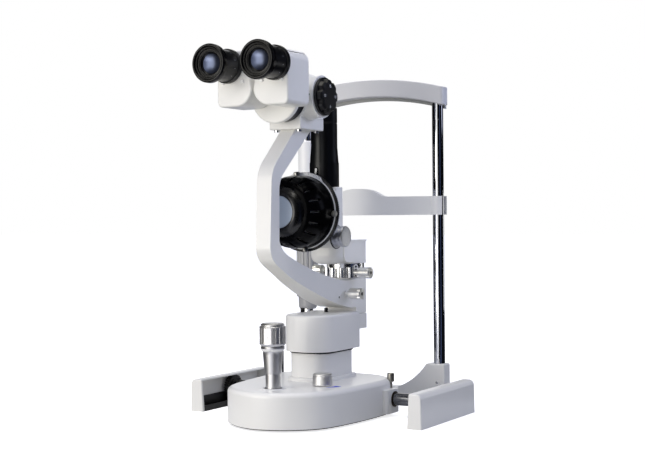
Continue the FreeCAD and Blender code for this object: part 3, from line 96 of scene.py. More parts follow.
def skin(name, colour, roughness, grain, depth, shade=0.04, spread=0.05, blotch=40, **shader):
    """A cast, moulded or painted skin.

    grain is the size of its texture and depth its height, both in millimetres. The colour
    drifts by shade over blotch millimetres, and the roughness by spread over the grain.
    """
    material, tree, surface = shaded(name, shader)
    place = node(tree, "TexCoord").outputs["Object"]
    fine = node(tree, "TexNoise", {"Vector": place, "Scale": 1000 / grain, "Detail": 3.0, "Roughness": 0.55})
    broad = node(tree, "TexNoise", {"Vector": place, "Scale": 1000 / blotch, "Detail": 2.0})
    tone = node(tree, "MapRange", {"Value": broad.outputs[0], "From Min": 0.3, "From Max": 0.7})
    base = linear(colour)
    dark = (*(channel * (1 - shade) for channel in base[:3]), 1.0)
    paint = node(tree, "Mix", {"Factor": tone.outputs[0]}, data_type="RGBA")
    paint.inputs["A"].default_value, paint.inputs["B"].default_value = dark, base
    rough = node(tree, "MapRange", {"Value": fine.outputs[0], "To Min": roughness - spread,
                                    "To Max": roughness + spread})
    relief = node(tree, "Bump", {"Height": fine.outputs[0], "Distance": depth * MM, "Strength": 1.0})
    tree.links.new(paint.outputs["Result"], surface.inputs["Base Color"])
    tree.links.new(rough.outputs[0], surface.inputs["Roughness"])
    tree.links.new(relief.outputs[0], surface.inputs["Normal"])
    return material


def turned_metal(name, colour, roughness, centre, axis, pitch=0.35, depth=0.004, spread=0.08, **shader):
    """A metal turned in a lathe: the tool leaves fine rings of one pitch round the axis.

    The rings are a noise read at (distance from the axis, distance along the axis), so they
    run round the side of a piece and in circles on its end.
    """
    material, tree, surface = shaded(name, {"Metallic": 1.0, **shader})
    place = node(tree, "TexCoord").outputs["Object"]
    local = node(tree, "VectorMath", {0: place, 1: Vector(centre) * MM}, operation="SUBTRACT")
    parts = node(tree, "SeparateXYZ", {0: local.outputs[0]}).outputs
    across = [parts[index] for index in range(3) if index != axis]
    flat = node(tree, "CombineXYZ", {0: across[0], 1: across[1]})
    radius = node(tree, "VectorMath", {0: flat.outputs[0]}, operation="LENGTH")
    ring = node(tree, "CombineXYZ", {0: radius.outputs["Value"], 1: parts[axis]})
    lines = node(tree, "TexNoise", {"Vector": ring.outputs[0], "Scale": 1000 / pitch, "Detail": 2.0})
    smear = node(tree, "TexNoise", {"Vector": place, "Scale": 120.0, "Detail": 2.0})
    mixed = node(tree, "Math", {0: lines.outputs[0], 1: smear.outputs[0]}, operation="ADD")
    rough = node(tree, "MapRange", {"Value": mixed.outputs[0], "From Min": 0.7, "From Max": 1.3,
                                    "To Min": roughness - spread, "To Max": roughness + spread})
    relief = node(tree, "Bump", {"Height": lines.outputs[0], "Distance": depth * MM, "Strength": 1.0})
    surface.inputs["Base Color"].default_value = linear(colour)
    tree.links.new(rough.outputs[0], surface.inputs["Roughness"])
    tree.links.new(relief.outputs[0], surface.inputs["Normal"])
    return material


# Polyester powder coat on cast aluminium. It melts into a soft gloss with a fine orange peel.
POWDER_COAT = skin("powder_coat_white", "#E8E7E3", 0.36, grain=1.1, depth=0.03, shade=0.012, spread=0.04,
                   Coat_Weight=0.25, Coat_Roughness=0.14)
# The same coat on sheet and bar, where it lies smoother.
SMOOTH_COAT = skin("powder_coat_smooth", "#E8E8E7", 0.42, grain=1.4, depth=0.015, shade=0.01, spread=0.03)
# The same coat on the headband, a little greyer: painted shade, as the headband stands high and far
# from the lamps.
HEADBAND_SHADED_COAT = skin("powder_coat_painted_shade", "#C9C9CB", 0.42, grain=1.4, depth=0.015, shade=0.01, spread=0.03)
# ABS moulded in a polished tool and lacquered. It is deep black with a tight highlight.
BLACK_ABS = skin("moulded_abs_black", "#040405", 0.19, grain=0.5, depth=0.003, shade=0.2, IOR=1.3,
                 Specular_IOR_Level=0.14)
# The same ABS from a sparked tool, on the magnification knobs. It is matt.
MATT_ABS = skin("sparked_abs_black", "#0B0B0D", 0.42, grain=0.4, depth=0.02, shade=0.2)
# The nose of the bowl, from a finely sparked part of the same tool. It has a broad sheen.
SATIN_ABS = skin("satin_abs_black", "#060607", 0.27, grain=0.5, depth=0.002, shade=0.1,
                 Specular_IOR_Level=0.6)
# Glass-filled nylon racks and wheels. They are matt, and a little grey.
BLACK_NYLON = skin("moulded_nylon_black", "#131313", 0.50, grain=0.6, depth=0.02, shade=0.2)
# Nitrile eyecup rims. They are soft black with a broad sheen.
BLACK_RUBBER = skin("moulded_rubber_black", "#060607", 0.25, grain=0.4, depth=0.004, shade=0.15,
                    Specular_IOR_Level=0.27)
# Aluminium tube, bead blasted and anodised black. It keeps a cold metallic highlight.
BLACK_ANODISED = skin("anodised_aluminium_black", "#0F1013", 0.30, grain=0.3, depth=0.004, shade=0.1,
                      Metallic=0.35)
# Decorative chrome on steel. It is a near mirror, with faint polishing haze.
CHROME = skin("chrome_plate", "#E4E5E8", 0.07, grain=3.0, depth=0.0008, shade=0.02, spread=0.03,
              Metallic=1.0)
# Chrome over a bead-blasted barrel, on the lock knobs. It is a pale satin.
SATIN_CHROME = skin("satin_chrome", "#EFEFED", 0.34, grain=0.4, depth=0.0003, shade=0.02, spread=0.02,
                    Metallic=1.0)
# Chrome over a finely turned face, on the index collar. Its edges of light are soft.
SOFT_CHROME = skin("soft_chrome", "#E4E5E8", 0.24, grain=0.4, depth=0.0003, shade=0.02, spread=0.02,
                   Metallic=1.0)
# Ground and hardened shaft steel. It is darker than chrome, with a fine grinding haze.
SHAFT_STEEL = skin("ground_shaft_steel", "#76777B", 0.22, grain=0.8, depth=0.0015, shade=0.05,
                   Metallic=1.0)
# Sintered bronze bushes. They are dark and dull from the oil in them.
BRONZE = skin("sintered_bronze", "#342A1D", 0.42, grain=0.4, depth=0.01, shade=0.2, Metallic=1.0)
# Acetal tube. It is a milky white gloss.
WHITE_ACETAL = skin("turned_acetal_white", "#EFEFEE", 0.25, grain=2.0, depth=0.004, shade=0.01)
# ABS sleeve moulded grey, with a soft gloss.
GREY_ABS = skin("moulded_abs_grey", "#A2A2A3", 0.30, grain=0.8, depth=0.01, shade=0.03)
# Silicone strip for the forehead. It is matt and slightly translucent.
SILICONE = skin("cast_silicone_grey", "#A9AAA8", 0.55, grain=1.0, depth=0.01, shade=0.05)
# Pressed wool felt under the nose. It is deeply matt with visible fibres.
FELT = skin("pressed_wool_felt", "#2A2B2C", 0.95, grain=0.35, depth=0.2, shade=0.3)
# Aluminium anodised dark grey, on the carrier's neck. Its dark colour is also painted shade for
# the band between the front disc and the body. It is a satin with a dull shine.
NECK_GREY_AND_SHADE = skin("anodised_grey_and_painted_shade", "#2B2C30", 0.36, grain=0.3, depth=0.003, shade=0.1,
                     Metallic=0.6)
# Screws with a black oxide coat. They are oily and dark.
BLACK_OXIDE = skin("black_oxide_steel", "#1A1B1D", 0.38, grain=0.4, depth=0.006, shade=0.2, Metallic=0.6)
# Free-cutting steel, knurled and nickelled, on the bowl's screws. It is a soft grey.
KNURLED_STEEL = skin("knurled_nickel_steel", "#A5A5A3", 0.36, grain=0.3, depth=0.003, shade=0.05,
                     Metallic=1.0)
# Screen-printed inks. They are flat and solid.
BLACK_INK = skin("printed_ink_black", "#121212", 0.5, grain=0.3, depth=0.002, shade=0.05)
WHITE_INK = skin("printed_ink_white", "#D8D8D8", 0.5, grain=0.3, depth=0.002, shade=0.05)
BLUE_INK = skin("printed_ink_blue", "#1C38D2", 0.45, grain=0.3, depth=0.002, shade=0.05)
GREEN_INK = skin("printed_ink_green", "#1E6A32", 0.45, grain=0.3, depth=0.002, shade=0.05)
# Pale blue grey lacquer on sheet, for the bare disc on the bowl.
BADGE_SHEET = skin("lacquered_sheet_pale", "#C2CDD8", 0.36, grain=0.5, depth=0.004, shade=0.03)
# Ground glass with an antireflection bloom. It throws back blue, and shows the dark well behind.
COATED_GLASS = skin("coated_glass", "#07080F", 0.30, grain=5.0, depth=0.00001, shade=0.02, spread=0.01,
                    IOR=2.3, Specular_Tint=linear("#C2D2FF"))
# Glass silvered on its front face, for the mirror that turns the slit of light.
FRONT_SILVER = skin("front_silvered_glass", "#DDE2E8", 0.02, grain=4.0, depth=0.0002, shade=0.01, spread=0.01,
                    Metallic=1.0)


# ---------------------------------------------------------------- shapes

def rounded(path, radius, steps=4):
    """A polyline with soft corners.

    Each inner corner P becomes the curve (1-s)^2 A + 2s(1-s) P + s^2 B, where A and B lie
    on the two runs, at most radius from P and never past 45% of a run.
    """
    path = np.asarray(path, float)
    inner = path[1:-1]
    back, ahead = path[:-2] - inner, path[2:] - inner
    length_back = np.linalg.norm(back, axis=1, keepdims=True)
    length_ahead = np.linalg.norm(ahead, axis=1, keepdims=True)
    start = inner + back / length_back * np.minimum(radius, 0.45 * length_back)
    end = inner + ahead / length_ahead * np.minimum(radius, 0.45 * length_ahead)
    s = np.linspace(0, 1, steps)[None, :, None]
    curve = (1 - s) ** 2 * start[:, None] + 2 * s * (1 - s) * inner[:, None] + s ** 2 * end[:, None]
    return np.vstack([path[:1], curve.reshape(-1, path.shape[1]), path[-1:]])


def stand_for(piece, material, body, nodes=(), sharp=35):
    """Shade a finished piece, give it its finish, and tie it to its body and its CAD nodes."""
    mesh = piece.data
    mesh.shade_smooth()
    mesh.set_sharp_from_angle(angle=math.radians(sharp))
    mesh.materials.clear()
    mesh.materials.append(material)
    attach(piece, body)
    if nodes:
        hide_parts(*nodes)


def new_piece(name, points, faces):
    """Put arrays of points in millimetres and of faces into a new mesh, merged and facing outwards."""
    mesh = bpy.data.meshes.new(name)
    mesh.from_pydata((np.asarray(points).reshape(-1, 3) * MM).tolist(), [], np.asarray(faces).tolist())
    work = bmesh.new()
    work.from_mesh(mesh)
    bmesh.ops.remove_doubles(work, verts=work.verts, dist=1e-6)
    bmesh.ops.recalc_face_normals(work, faces=work.faces)
    work.to_mesh(mesh)
    work.free()
    piece = bpy.data.objects.new(name, mesh)
    bpy.context.scene.collection.objects.link(piece)
    return piece


def surface(name, points, loop_rows=False, loop_columns=True):
    """A grid of points as four-sided faces, closed along its rows or its columns if asked."""
    rows, columns = points.shape[:2]
    row, column = np.meshgrid(np.arange(rows - (not loop_rows)), np.arange(columns - (not loop_columns)),
                              indexing="ij")
    below, beside = (row + 1) % rows, (column + 1) % columns
    faces = np.stack([row * columns + column, row * columns + beside,
                      below * columns + beside, below * columns + column], -1).reshape(-1, 4)
    return new_piece(name, points, faces)


def carried_round(profile, centre, axis, around=96, swell=None):
    """Points of a profile (radius, height) carried round an axis through centre.

    For angle a the point is centre + R cos a U + R sin a V + h W, where W is the axis, U and V
    are square to it, and R is the radius, changed by swell(a, radius, height) if it is given.
    """
    profile = np.asarray(profile, float)
    angle = np.linspace(0, 2 * np.pi, around, endpoint=False)
    a, radius = np.meshgrid(angle, profile[:, 0])
    height = np.repeat(profile[:, 1:2], around, axis=1)
    if swell is not None:
        radius = swell(a, radius, height)
    sign = -1.0 if axis.startswith("-") else 1.0
    along = "xyz".index(axis[-1])
    first, second = [index for index in range(3) if index != along]
    points = np.empty(a.shape + (3,))
    points[..., first] = radius * np.cos(a)
    points[..., second] = radius * np.sin(a)
    points[..., along] = sign * height
    return points + np.asarray(centre, float)


def turned(name, profile, centre, axis, around=96, swell=None, ring=False):
    """A turned piece. A ring's profile is a closed loop; any other starts and ends on the axis."""
    return surface(name, carried_round(profile, centre, axis, around, swell), loop_rows=ring)


def refined(name, material):
    """A merged copy of a CAD node with smooth shading, which stands for the node."""
    mesh = frame["nodes"][name].data.copy()
    mesh.name = name + "_skin"
    work = bmesh.new()
    work.from_mesh(mesh)
    bmesh.ops.remove_doubles(work, verts=work.verts, dist=2e-6)
    work.to_mesh(mesh)
    work.free()
    if "custom_normal" in mesh.attributes:
        mesh.attributes.remove(mesh.attributes["custom_normal"])
    piece = bpy.data.objects.new(name + "_skin", mesh)
    bpy.context.scene.collection.objects.link(piece)
    stand_for(piece, material, BODY_OF[name], [name])
    even = piece.modifiers.new("even_shading", "WEIGHTED_NORMAL")
    even.keep_sharp = True


FINISHES = {
    POWDER_COAT: ["base_casting", "column_sleeve", "elevating_housing", "microscope_arm", "microscope_body",
                  "lamp_bracket", "front_disc", "rail_cover_left", "rail_cover_right",
                  "prism_housing_left", "prism_housing_right", "chinrest_crossbar"],
    SMOOTH_COAT: ["chin_bar"],
    # The headband's greyer coat is painted shade.
    HEADBAND_SHADED_COAT: ["headband"],
    BLACK_ABS: ["lamp_bowl"],
    BLACK_NYLON: ["gear_rack_left", "gear_rack_right", "toothed_wheel_left", "toothed_wheel_right",
                  "axle_guides", "base_plate", "power_socket"],
    BLACK_ANODISED: ["eyepiece_left", "eyepiece_right", "tower_tube", "mirror_head", "magnification_drum"],
    CHROME: ["chinrest_post_left", "chinrest_post_right", "foot_screws"],
    SOFT_CHROME: ["index_collar"],
    SATIN_CHROME: ["lock_knob_lower", "lock_knob_upper", "lock_knob_left"],
    SHAFT_STEEL: ["cross_axle", "lift_screw", "pivot_post", "joystick_gimbal", "filter_lever"],
    BRONZE: ["shaft_bushes"],
    WHITE_ACETAL: ["chin_tube"],
    GREY_ABS: ["lift_collar"],
    SILICONE: ["forehead_strip"],
    FELT: ["glide_foot"],
    COATED_GLASS: ["objective_lens", "lamp_bulb"],
}
for finish, names in FINISHES.items():
    for name in names:
        refined(name, finish)


# ---------------------------------------------------------------- joystick, dial and screws

STICK = on_axis("grip_turn", "z")
DIAL = on_axis("dial_turn", "z")
BRAKE = on_axis("brake_turn", "z")
EAR_PIN = (-BRAKE[0], BRAKE[1], 0.0)
# The base's flat top, and the two faces of the dark ring of painted shade under the housing.
DECK = 50.0
SHADE_RING_TOP, SHADE_RING_LOW = 90.3, 87.4
# The grip's radius between its two rims.
FLANK = 17.2


def band(height, low, high, soft):
    """1 between two heights, 0 outside them, and a smooth step (3t^2 - 2t^3) over soft at each end."""
    rise = np.clip((height - low) / soft, 0, 1)
    fall = np.clip((high - height) / soft, 0, 1)
    return rise ** 2 * (3 - 2 * rise) * fall ** 2 * (3 - 2 * fall)


def facets(count, groove, low, high, soft=0.8):
    """A swell that flattens a round into count facets, with a groove at each corner.

    At angle b from the middle of a facet, r becomes r cos(pi/count) / cos b, less
    groove * (|b| count / pi)^12, between the heights low and high.
    """
    def swell(a, radius, height):
        """The radius with its facets cut."""
        step = 2 * np.pi / count
        b = np.abs((a + step / 2) % step - step / 2)
        cut = radius * (1 - np.cos(np.pi / count) / np.cos(b)) + groove * (2 * b / step) ** 12
        return radius - cut * band(height, low, high, soft)
    return swell


def ribs(count, depth, low, high, soft=0.6, sharpness=2.0):
    """A swell of count grooves: r - depth |cos(count a / 2)|^sharpness, between two heights."""
    def swell(a, radius, height):
        """The radius with its grooves cut."""
        return radius - depth * np.abs(np.cos(count * a / 2)) ** sharpness * band(height, low, high, soft)
    return swell


def joystick_parts():
    """The faceted grip, the collar ring under it and the plate round the hole in the base.

    The grip's straight flank gets 28 heights of its own, so that the facets can end softly.
    """
    profile = rounded([(0, 134.6), (12.8, 134.6), (15.3, 133.0), (15.6, 132.2), (14.6, 131.8), (14.6, 131.0),
                       (16.4, 130.7), (FLANK, 129.7), (FLANK, 108.2), (16.4, 106.9), (15.2, 106.4),
                       (15.0, 105.2), (5.05, 105.2), (5.05, 129.1), (0, 129.1)], 0.35)
    widest = np.flatnonzero(profile[:, 0] > FLANK - 0.3)
    below = widest[profile[widest, 1] <= 118][0]
    flank = np.column_stack([np.full(28, FLANK), np.linspace(129.0, 108.9, 28)])
    profile = np.vstack([profile[:below], flank, profile[below:]])
    grip = turned("grip_faceted", profile, STICK, "z", 240, facets(20, 0.7, 108.3, 129.6))
    stand_for(grip, GRIP_METAL, "grip", ["joystick_grip"], 28)
    profile = rounded([(12.6, 98.6), (13.5, 98.6), (15.5, 101.2), (15.5, 101.9), (12.6, 101.9)], 0.3)
    cream = turned("collar_ring", profile, STICK, "z", 96, ring=True)
    stand_for(cream, WHITE_ACETAL, "joystick")
    profile = rounded([(12.4, 49.6), (15.8, 49.6), (16.2, 50.2), (15.6, 50.8), (12.5, 50.8)], 0.3)
    plate = turned("hole_plate", profile, STICK, "z", 96, ring=True)
    stand_for(plate, SMOOTH_COAT, "base")


def dial_parts():
    """The brightness dial and the three ticks on its side, which leans in by 0.06 for each millimetre."""
    profile = rounded([(0, 66.0), (11.3, 66.0), (12.2, 65.3), (12.3, 63.9), (12.0, 63.6), (12.0, 63.1),
                       (12.5, 62.8), (13.1, 52.0), (12.6, 50.7), (4, 50.7), (4, 40), (0, 40)], 0.3)
    dial = turned("dial_turned", profile, DIAL, "z", 192)
    stand_for(dial, DIAL_METAL, "dial", ["brightness_dial"], 30)
    for index, height in enumerate((55.0, 57.4, 59.8)):
        seat = around_axis(DIAL, 12.9 - 0.06 * (height - 52), -18.0, height, 0.08)
        label(f"dial_mark_{index}", "I", 2.2, seat, WHITE_INK, "dial")


def brightness_wedge():
    """The blue wedge printed round the dial on the base.

    It runs from -48 to 14 degrees as t goes from 0 to 1, between radius 17.5 and
    18 + 10.5 t^0.8, and closes in a straight line over the last 14%.
    """
    t = np.linspace(0, 1, 40)
    a = np.radians(-48 + 62 * t)
    inner, outer = np.full(40, 17.5), 18.0 + 10.5 * t ** 0.8
    outer = np.where(t > 0.86, inner + (outer - inner) * (1 - t) / 0.14, outer)
    points = np.empty((2, 40, 3))
    for row, radius in enumerate((inner, outer)):
        points[row, :, 0] = DIAL[0] + radius * np.cos(a)
        points[row, :, 1] = DIAL[1] + radius * np.sin(a)
        points[row, :, 2] = DECK + 0.06
    wedge = surface("brightness_wedge", points, loop_columns=False)
    stand_for(wedge, BLUE_INK, "base")


def around_axis(centre, radius, degrees, height, lift):
    """A seat on the side of an upright round: its middle, its right and its up directions."""
    a = math.radians(degrees)
    out = np.array([math.cos(a), math.sin(a), 0.0])
    middle = np.array([centre[0], centre[1], height]) + out * (radius + lift)
    return middle, np.array([-out[1], out[0], 0.0]), np.array([0.0, 0.0, 1.0])


def label(name, words, size, seat, material, body):
    """Printed lettering: a text turned into a flat mesh and laid on a seat.

    A point (u, v) of the text, measured from its middle, goes to middle + u right + v up.
    """
    curve = bpy.data.curves.new(name + "_text", "FONT")
    curve.body = words
    curve.size = size * MM
    curve.resolution_u = 3
    holder = bpy.data.objects.new(name + "_text", curve)
    mesh = bpy.data.meshes.new_from_object(holder)
    bpy.data.objects.remove(holder)
    flat = np.empty(len(mesh.vertices) * 3)
    mesh.vertices.foreach_get("co", flat)
    flat = flat.reshape(-1, 3)
    flat -= (flat.min(0) + flat.max(0)) / 2
    middle, right, up = seat
    points = np.asarray(middle) * MM + flat[:, :1] * right + flat[:, 1:2] * up
    mesh.vertices.foreach_set("co", points.ravel())
    mesh.name = name
    piece = bpy.data.objects.new(name, mesh)
    bpy.context.scene.collection.objects.link(piece)
    stand_for(piece, material, body)


# Aluminium turned, faced and clear anodised. Its fine tool rings spread the light round it.
GRIP_METAL = turned_metal("turned_aluminium_grip", "#E0E0E2", 0.39, STICK, 2, depth=0.001, spread=0.03)
DIAL_METAL = turned_metal("turned_aluminium_dial", "#E9E9EA", 0.52, DIAL, 2)
# Free-cutting steel, turned and left bare, on the brake screw.
BRAKE_METAL = turned_metal("turned_steel_brake", "#96948E", 0.40, BRAKE, 2)
joystick_parts()
LEVER_METAL = turned_metal("turned_aluminium_lever", "#D0D0D2", 0.37, STICK, 2, depth=0.001, spread=0.02)
refined("joystick_lever", LEVER_METAL)
dial_parts()
brightness_wedge()


def ear_parts():
    """The knurled brake screw in the right ear, and the pin and its hexagon nut in the left one."""
    profile = rounded([(0, 57.0), (3.9, 57.0), (4.9, 56.2), (4.9, 46.2), (4.2, 45.2), (2.3, 44.8),
                       (2.2, 44.2), (2.2, 34.3), (0, 34.3)], 0.3)
    brake = turned("brake_knurled", profile, BRAKE, "z", 240, ribs(24, 0.5, 46.4, 55.8))
    stand_for(brake, BRAKE_METAL, "brake", ["brake_screw"])
    profile = rounded([(0, 101.0), (1.3, 101.0), (1.5, 100.4), (1.5, 44.5), (0, 44.5)], 0.2)
    stand_for(turned("ear_pin", profile, EAR_PIN, "z", 32), BLACK_OXIDE, "base")
    profile = rounded([(0, 45.2), (3.3, 45.2), (4.0, 44.5), (4.0, 38.5), (3.3, 36.8), (0, 36.8)], 0.2)
    nut = turned("ear_nut", profile, EAR_PIN, "z", 96, facets(6, 0.0, 36.9, 45.1, 0.2))
    stand_for(nut, BLACK_OXIDE, "base")


def housing_parts():
    """A dark ring under the housing, and the two screws on its top. The ring is painted shade: it
    stands in for the shade in the gap between the housing and the column.

    It follows the column: each corner is a quarter round of its own centre and radius,
    grown by 0.35 on the inside and 1.7 on the outside.
    """
    corners = ((22, 0, 8), (-22, 0, 8), (-11, -54, 19), (11, -54, 19))
    start = np.repeat(np.arange(4), 12) * math.pi / 2
    a = start + np.tile(np.radians(np.linspace(0, 90, 12)), 4)
    x, y, radius = np.repeat(np.array(corners, float), 12, axis=0).T
    rows = [np.column_stack([x + (radius + grow) * np.cos(a), y + (radius + grow) * np.sin(a),
                             np.full(a.size, height)])
            for grow, height in ((0.35, SHADE_RING_TOP), (1.7, SHADE_RING_TOP), (1.7, SHADE_RING_LOW), (0.35, SHADE_RING_LOW))]
    # The dark ring is painted shade for the gap between the housing and the column.
    gap_shade = surface("column_gap_shade", np.array(rows), loop_rows=True)
    stand_for(gap_shade, BLACK_RUBBER, "elevator")
    profile = rounded([(0, 142.6), (1.4, 142.6), (1.5, 144.8), (2.3, 144.8), (2.6, 144.4), (2.6, 138.6),
                       (0, 138.6)], 0.15)
    for index, (x, y) in enumerate(((-30.0, -29.0), (-2.0, -12.0))):
        screw = turned(f"housing_screw_{index}", profile, (x, y, 0.0), "z", 48)
        stand_for(screw, BLACK_OXIDE, "elevator")


ear_parts()
housing_parts()


# ---------------------------------------------------------------- microscope head

DRUM = on_axis("magnification_turn", "x")
FIGURES = ("10", "16", "10", "6")


def lobes(a, radius, height):
    """Eight scoops in the knob's front: r - 2.9 (r/22)^3 max(0, -cos 8a)^1.4, above a plain skirt."""
    scoop = 2.9 * (radius / 22) ** 3 * np.maximum(0, -np.cos(8 * a)) ** 1.4
    return radius - scoop * band(height, 46.6, 99, 0.6)


def knob_parts():
    """Both magnification knobs and their figures. Figure k stands 13.4 from the axis, at 90 k degrees."""
    profile = rounded([(0, 53.5), (17.6, 53.5), (20.6, 52.7), (22.0, 51.2), (22.6, 47.4), (23.0, 46.7),
                       (24.5, 46.5), (25.0, 46.0), (25.0, 43.0), (24.5, 42.4), (8, 42.4), (8, 44), (0, 44)],
                      0.4, 5)
    for word, side in SIDES:
        axis = "x" if side > 0 else "-x"
        knob = turned(f"magnification_lobes_{word}", profile, DRUM, axis, 300, lobes)
        stand_for(knob, MATT_ABS, "drum", [f"magnification_knob_{word}"], 40)
        for index, figure in enumerate(FIGURES):
            a = math.radians(90 * index)
            middle = (side * 53.6, DRUM[1] + 13.4 * math.cos(a), DRUM[2] + 13.4 * math.sin(a))
            seat = (middle, np.array([0, side, 0.0]), np.array([0, 0, 1.0]))
            label(f"figure_{index}_{word}", figure, 5.6, seat, WHITE_INK, "drum")


def neck_parts():
    """The green index dot by the right knob, and the front disc's ribbed neck, partly painted shade."""
    profile = [(0, 0.35), (0.9, 0.3), (0.9, -0.2), (0, -0.2)]
    dot = turned("index_dot", profile, (37.5, -119.0, 428.9), "-y", 24)
    stand_for(dot, GREEN_INK, "microscope")
    profile = rounded([(31.0, 6.6), (33.8, 6.6), (33.8, 9.4), (33.2, 9.6), (33.2, 24.3), (31.0, 24.3)], 0.2)
    flutes = ribs(120, 0.25, 9.8, 24.2, 0.2)
    # The neck's dark grey is partly painted shade, for the band between the disc and the body.
    neck = turned("disc_neck_painted_shade", profile, (0, -143.6, DRUM[2]), "y", 480, flutes, ring=True)
    stand_for(neck, NECK_GREY_AND_SHADE, "microscope")


# The heights in the eyepieces' profiles start at this y and run towards the examiner.
EYE_Y = -196.0
# The barrel's radius with the print's thickness on it.
PRINTED = 20.28
RIM = rounded([(20.25, 33.5), (22.0, 33.5), (22.0, 35.8), (23.6, 36.1), (24.4, 37.2), (24.4, 43.4),
               (23.6, 45.0), (22.6, 45.5), (21.5, 45.4), (20.8, 44.6), (20.2, 42.9), (19.6, 42.5),
               (18.8, 43.0), (18.3, 42.9), (17.9, 41.2), (17.0, 40.8), (16.0, 41.2), (15.5, 41.0),
               (15.1, 40.2), (16.4, 40.2), (20.25, 40.2)], 0.4)
WELL = rounded([(0, 33.7), (12.5, 33.7), (12.7, 37.2), (14.2, 38.2), (14.7, 40.1), (15.9, 40.1), (16.2, 39.4),
                (16.2, 35.6), (12.9, 35.5), (12.9, 33.2), (0, 33.2)], 0.25)
CAP = rounded([(0, 2.2), (1.9, 2.2), (2.5, 1.6), (2.5, -0.5), (0, -0.5)], 0.3)


def eye_parts():
    """The rims, wells and glasses of the eyepieces, their figures, and the caps on the housings.

    The glass is hollow: at radius r its face stands at 62.3 - sqrt(28^2 - r^2). Figure k lies
    on the barrel at 30 k - 75 degrees.
    """
    reach = np.linspace(0, 12.4, 24)
    hollow = np.column_stack([reach, 62.3 - (28.0 ** 2 - reach ** 2) ** 0.5])[::-1]
    glass = np.vstack([[(0, 33.8), (12.4, 33.8)], hollow])
    for word, side in SIDES:
        eye = on_axis("dioptre_" + word, "y", EYE_Y)
        rim = turned(f"eyecup_rim_{word}", RIM, eye, "-y", 160, ring=True)
        stand_for(rim, BLACK_RUBBER, f"eyecup_{word}", [f"eyecup_{word}"], 50)
        well = turned(f"eye_well_{word}", WELL, eye, "-y", 128)
        stand_for(well, BLACK_ANODISED, f"prism_{word}")
        lens = turned(f"eye_glass_{word}", glass, eye, "-y", 96)
        stand_for(lens, COATED_GLASS, f"prism_{word}", [f"eye_lens_{word}"], 60)
        for index, figure in enumerate("642024"):
            a = math.radians(-75 + 30 * index)
            out = np.array([math.cos(a), 0.0, math.sin(a)])
            middle = np.array(eye) + out * PRINTED + np.array([0, -14.0, 0])
            seat = (middle, np.array([-out[2], 0, out[0]]), np.array([0.0, 1.0, 0.0]))
            label(f"dioptre_{index}_{word}", figure, 2.6, seat, WHITE_INK, f"prism_{word}")
        for index, x in enumerate((14.5, 43.6)):
            cap = turned(f"housing_cap_{index}_{word}", CAP, (side * x, EYE_Y, 441.5), "-y", 40)
            stand_for(cap, WHITE_ACETAL, f"prism_{word}")


knob_parts()
neck_parts()
eye_parts()


# ---------------------------------------------------------------- lamp and slit

LAMP = on_axis("slit_rotation", "y", -79.5)
SLIT_RING = on_axis("slit_rotation", "y", -69.4)
SLIT_KNOB = on_axis("slit_width_turn", "x")


def sector(a, radius, height):
    """A swell that adds 3.2 to radii over 49 within 30 degrees of the top, and nothing past 38."""
    off = np.degrees(np.abs((a - np.pi / 2 + np.pi) % (2 * np.pi) - np.pi))
    return radius + 3.2 * np.clip((38 - off) / 8, 0, 1) * (radius > 49)


def scale_parts():
    """The slit's rotation ring, the scale plate on it and the plate's 25 printed marks.

    Mark k lies at 2.5k - 30 degrees from the top. It is 0.4 wide and runs out to radius 53
    from 51.4, or from 50.4 at every fourth.
    """
    profile = rounded([(28.1, 0), (52.6, 0), (53.5, 0.7), (53.5, 3.9), (52.6, 4.6), (28.1, 4.6)], 0.3)
    knurl = ribs(120, 0.4, 0.0, 4.6, 0.05, 1.2)
    ring = turned("rotation_ring_knurled", profile, SLIT_RING, "-y", 720, knurl, ring=True)
    stand_for(ring, BLACK_ANODISED, "slit_ring", ["rotation_ring"])
    profile = rounded([(48.4, 4.5), (50.0, 4.5), (50.0, 5.2), (48.4, 5.2)], 0.15)
    plate = turned("scale_plate", profile, SLIT_RING, "-y", 360, sector, ring=True)
    stand_for(plate, WHITE_ACETAL, "slit_ring")
    index = np.arange(25)
    turn = np.radians(60 + 2.5 * index)
    inner = np.where(index % 4 == 0, 50.4, 51.4)
    marks = np.empty((25, 4, 3))
    for corner, (radius, side) in enumerate(((inner, -0.2), (53.0, -0.2), (53.0, 0.2), (inner, 0.2))):
        marks[:, corner, 0] = radius * np.cos(turn) - side * np.sin(turn)
        marks[:, corner, 1] = -5.25
        marks[:, corner, 2] = radius * np.sin(turn) + side * np.cos(turn)
    marks += SLIT_RING
    scale = new_piece("scale_marks", marks, np.arange(100).reshape(25, 4))
    stand_for(scale, BLACK_INK, "slit_ring")


